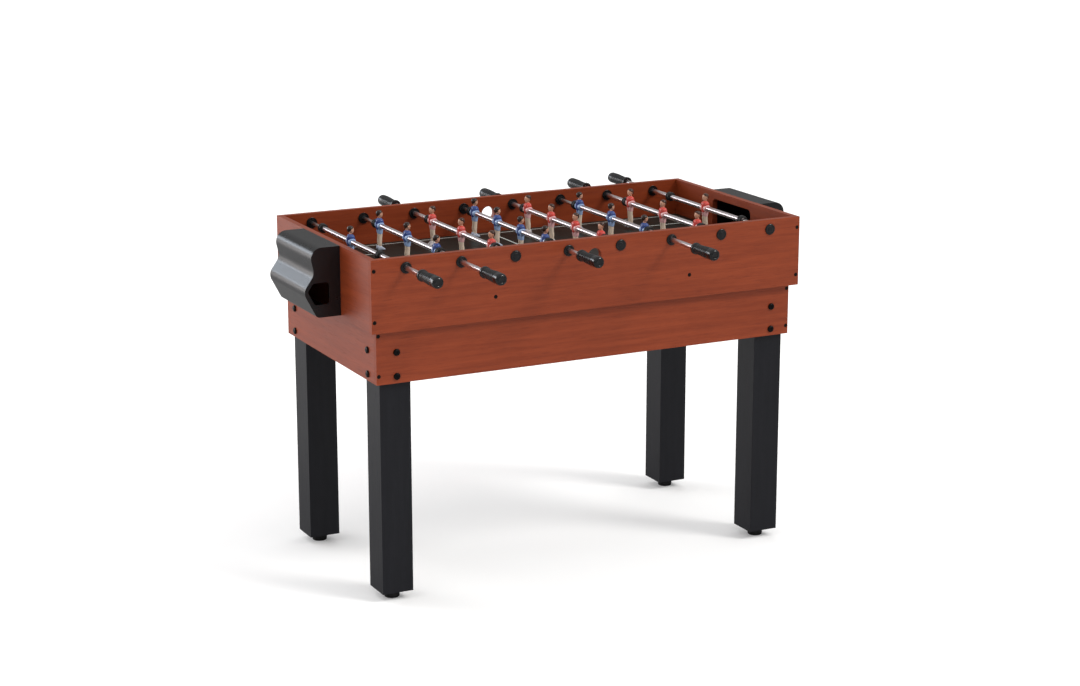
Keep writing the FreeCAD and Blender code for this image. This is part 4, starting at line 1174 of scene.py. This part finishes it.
def make_lights():
    looks = bpy.context.scene.foosball_stage
    world = bpy.data.worlds.new("studio")
    bpy.context.scene.world = world
    world.use_nodes = True
    tree = world.node_tree
    background = tree.nodes["Background"]
    background.inputs["Color"].default_value = (1, 1, 1, 1)
    parts = tree.nodes.new("ShaderNodeSeparateXYZ")
    link(tree, tree.nodes.new("ShaderNodeTexCoord").outputs["Generated"], parts.inputs[0])
    rise = remap(tree, parts.outputs["Z"], 0.05, 0.75, 0.45 * looks.air, 1.1 * looks.air)
    rays = tree.nodes.new("ShaderNodeLightPath")
    dim = maths(tree, "MULTIPLY_ADD", rays.outputs["Is Glossy Ray"], looks.air_reflected - 1, 1)
    link(tree, maths(tree, "MULTIPLY", rise, dim), background.inputs["Strength"])
    add_light("SUN", "key", looks.key, KEY_PLACE, KEY_AIM, angle=math.radians(17),
              color=(1.0, 0.985, 0.96))
    add_light("AREA", "left_glow", GLOW_POWER, GLOW_PLACE, GLOW_AIM, size=GLOW_SIZE,
              color=(1.0, 0.96, 0.95))
    add_light("AREA", "rear_strip", STRIP_POWER, STRIP_PLACE, STRIP_AIM, shape="RECTANGLE",
              size=STRIP_LENGTH, size_y=STRIP_HEIGHT, color=(0.76, 0.87, 1.0))


def make_camera():
    looks = bpy.context.scene.foosball_stage
    data = bpy.data.cameras.new("view")
    data.lens = looks.lens
    data.sensor_width = SENSOR_WIDTH
    data.clip_end = VIEW_REACH
    camera = bpy.data.objects.new("view", data)
    bpy.context.scene.collection.objects.link(camera)
    camera.location = CAMERA_PLACE
    camera.rotation_euler = CAMERA_TURN
    bpy.context.scene.camera = camera
    bpy.context.scene.view_settings.view_transform = "Standard"


# ---------------------------------------------------------------- operators

class FOOSBALL_OT_stage(bpy.types.Operator):
    """Set up the floor, the lights and the camera"""
    bl_idname = "foosball.stage"
    bl_label = "Stage"

    def execute(self, context):
        make_floor()
        make_lights()
        make_camera()
        return {"FINISHED"}


class FOOSBALL_OT_box_panels(bpy.types.Operator):
    """Make the four panels of the upper box with soft edges and cherry grain"""
    bl_idname = "foosball.box_panels"
    bl_label = "Box panels"

    def execute(self, context):
        make_boards(BOX_PANELS)
        return {"FINISHED"}


class FOOSBALL_OT_apron(bpy.types.Operator):
    """Make the four rails of the apron"""
    bl_idname = "foosball.apron"
    bl_label = "Apron"

    def execute(self, context):
        make_boards(APRON_RAILS)
        return {"FINISHED"}


class FOOSBALL_OT_field(bpy.types.Operator):
    """Finish the playing surface with its lines, and the ledgers under it"""
    bl_idname = "foosball.field"
    bl_label = "Playing field"

    def execute(self, context):
        dress_node("playfield", playing_surface())
        dress_node("field_ledgers", raw_board())
        return {"FINISHED"}


class FOOSBALL_OT_legs(bpy.types.Operator):
    """Make the four square legs"""
    bl_idname = "foosball.legs"
    bl_label = "Legs"

    def execute(self, context):
        make_legs()
        return {"FINISHED"}


class FOOSBALL_OT_feet(bpy.types.Operator):
    """Make the four levelling feet"""
    bl_idname = "foosball.feet"
    bl_label = "Levelling feet"

    def execute(self, context):
        make_feet()
        return {"FINISHED"}


class FOOSBALL_OT_ball_boxes(bpy.types.Operator):
    """Make the two moulded ball boxes"""
    bl_idname = "foosball.ball_boxes"
    bl_label = "Ball boxes"

    def execute(self, context):
        make_ball_boxes()
        return {"FINISHED"}


class FOOSBALL_OT_bearings(bpy.types.Operator):
    """Make the bushings, blind caps and ring nuts"""
    bl_idname = "foosball.bearings"
    bl_label = "Rod bearings"

    def execute(self, context):
        make_bearings()
        return {"FINISHED"}


class FOOSBALL_OT_screws(bpy.types.Operator):
    """Make the screws of the box, the ledgers and the ball boxes"""
    bl_idname = "foosball.screws"
    bl_label = "Screws"

    def execute(self, context):
        make_screws()
        return {"FINISHED"}


class FOOSBALL_OT_leg_bolts(bpy.types.Operator):
    """Make the bolts that hold the legs"""
    bl_idname = "foosball.leg_bolts"
    bl_label = "Leg bolts"

    def execute(self, context):
        make_leg_bolts()
        return {"FINISHED"}


class FOOSBALL_OT_rods(bpy.types.Operator):
    """Finish the tubes and the inner rods"""
    bl_idname = "foosball.rods"
    bl_label = "Rods"

    def execute(self, context):
        make_rods()
        return {"FINISHED"}


class FOOSBALL_OT_bumpers(bpy.types.Operator):
    """Make the rubber bumpers"""
    bl_idname = "foosball.bumpers"
    bl_label = "Bumpers"

    def execute(self, context):
        make_bumpers()
        return {"FINISHED"}


class FOOSBALL_OT_handles(bpy.types.Operator):
    """Make the ribbed handles"""
    bl_idname = "foosball.handles"
    bl_label = "Handles"

    def execute(self, context):
        make_handles()
        return {"FINISHED"}


class FOOSBALL_OT_men(bpy.types.Operator):
    """Make the men of both teams"""
    bl_idname = "foosball.men"
    bl_label = "Men"

    def execute(self, context):
        make_men()
        return {"FINISHED"}


STEPS = (FOOSBALL_OT_stage, FOOSBALL_OT_box_panels, FOOSBALL_OT_apron, FOOSBALL_OT_field,
         FOOSBALL_OT_legs, FOOSBALL_OT_feet, FOOSBALL_OT_ball_boxes, FOOSBALL_OT_bearings,
         FOOSBALL_OT_screws, FOOSBALL_OT_leg_bolts, FOOSBALL_OT_rods, FOOSBALL_OT_bumpers,
         FOOSBALL_OT_handles, FOOSBALL_OT_men)


class FOOSBALL_PT_panel(bpy.types.Panel):
    """The table's sizes and colours, and the steps that make it"""
    bl_label = "Foosball Table"
    bl_idname = "FOOSBALL_PT_panel"
    bl_space_type = "VIEW_3D"
    bl_region_type = "UI"
    bl_category = "Foosball"

    def draw(self, context):
        for group in (context.scene.foosball_cabinet, context.scene.foosball_fittings,
                      context.scene.foosball_men, context.scene.foosball_stage):
            column = self.layout.column()
            for key in group.__annotations__:
                column.prop(group, key)
        for step in STEPS:
            self.layout.operator(step.bl_idname)


SETTINGS = {"foosball_cabinet": CabinetSettings, "foosball_fittings": FittingSettings,
            "foosball_men": MenSettings, "foosball_stage": StageSettings}
CLASSES = (*SETTINGS.values(), *STEPS, FOOSBALL_PT_panel)


def register():
    for item in CLASSES:
        bpy.utils.register_class(item)
    for key, group in SETTINGS.items():
        setattr(bpy.types.Scene, key, PointerProperty(type=group))


def unregister():
    for key in SETTINGS:
        delattr(bpy.types.Scene, key)
    for item in reversed(CLASSES):
        bpy.utils.unregister_class(item)


def main():
    register()
    for step in STEPS:
        getattr(bpy.ops.foosball, step.bl_idname.split(".")[1])()


if __name__ == "__main__":
    main()
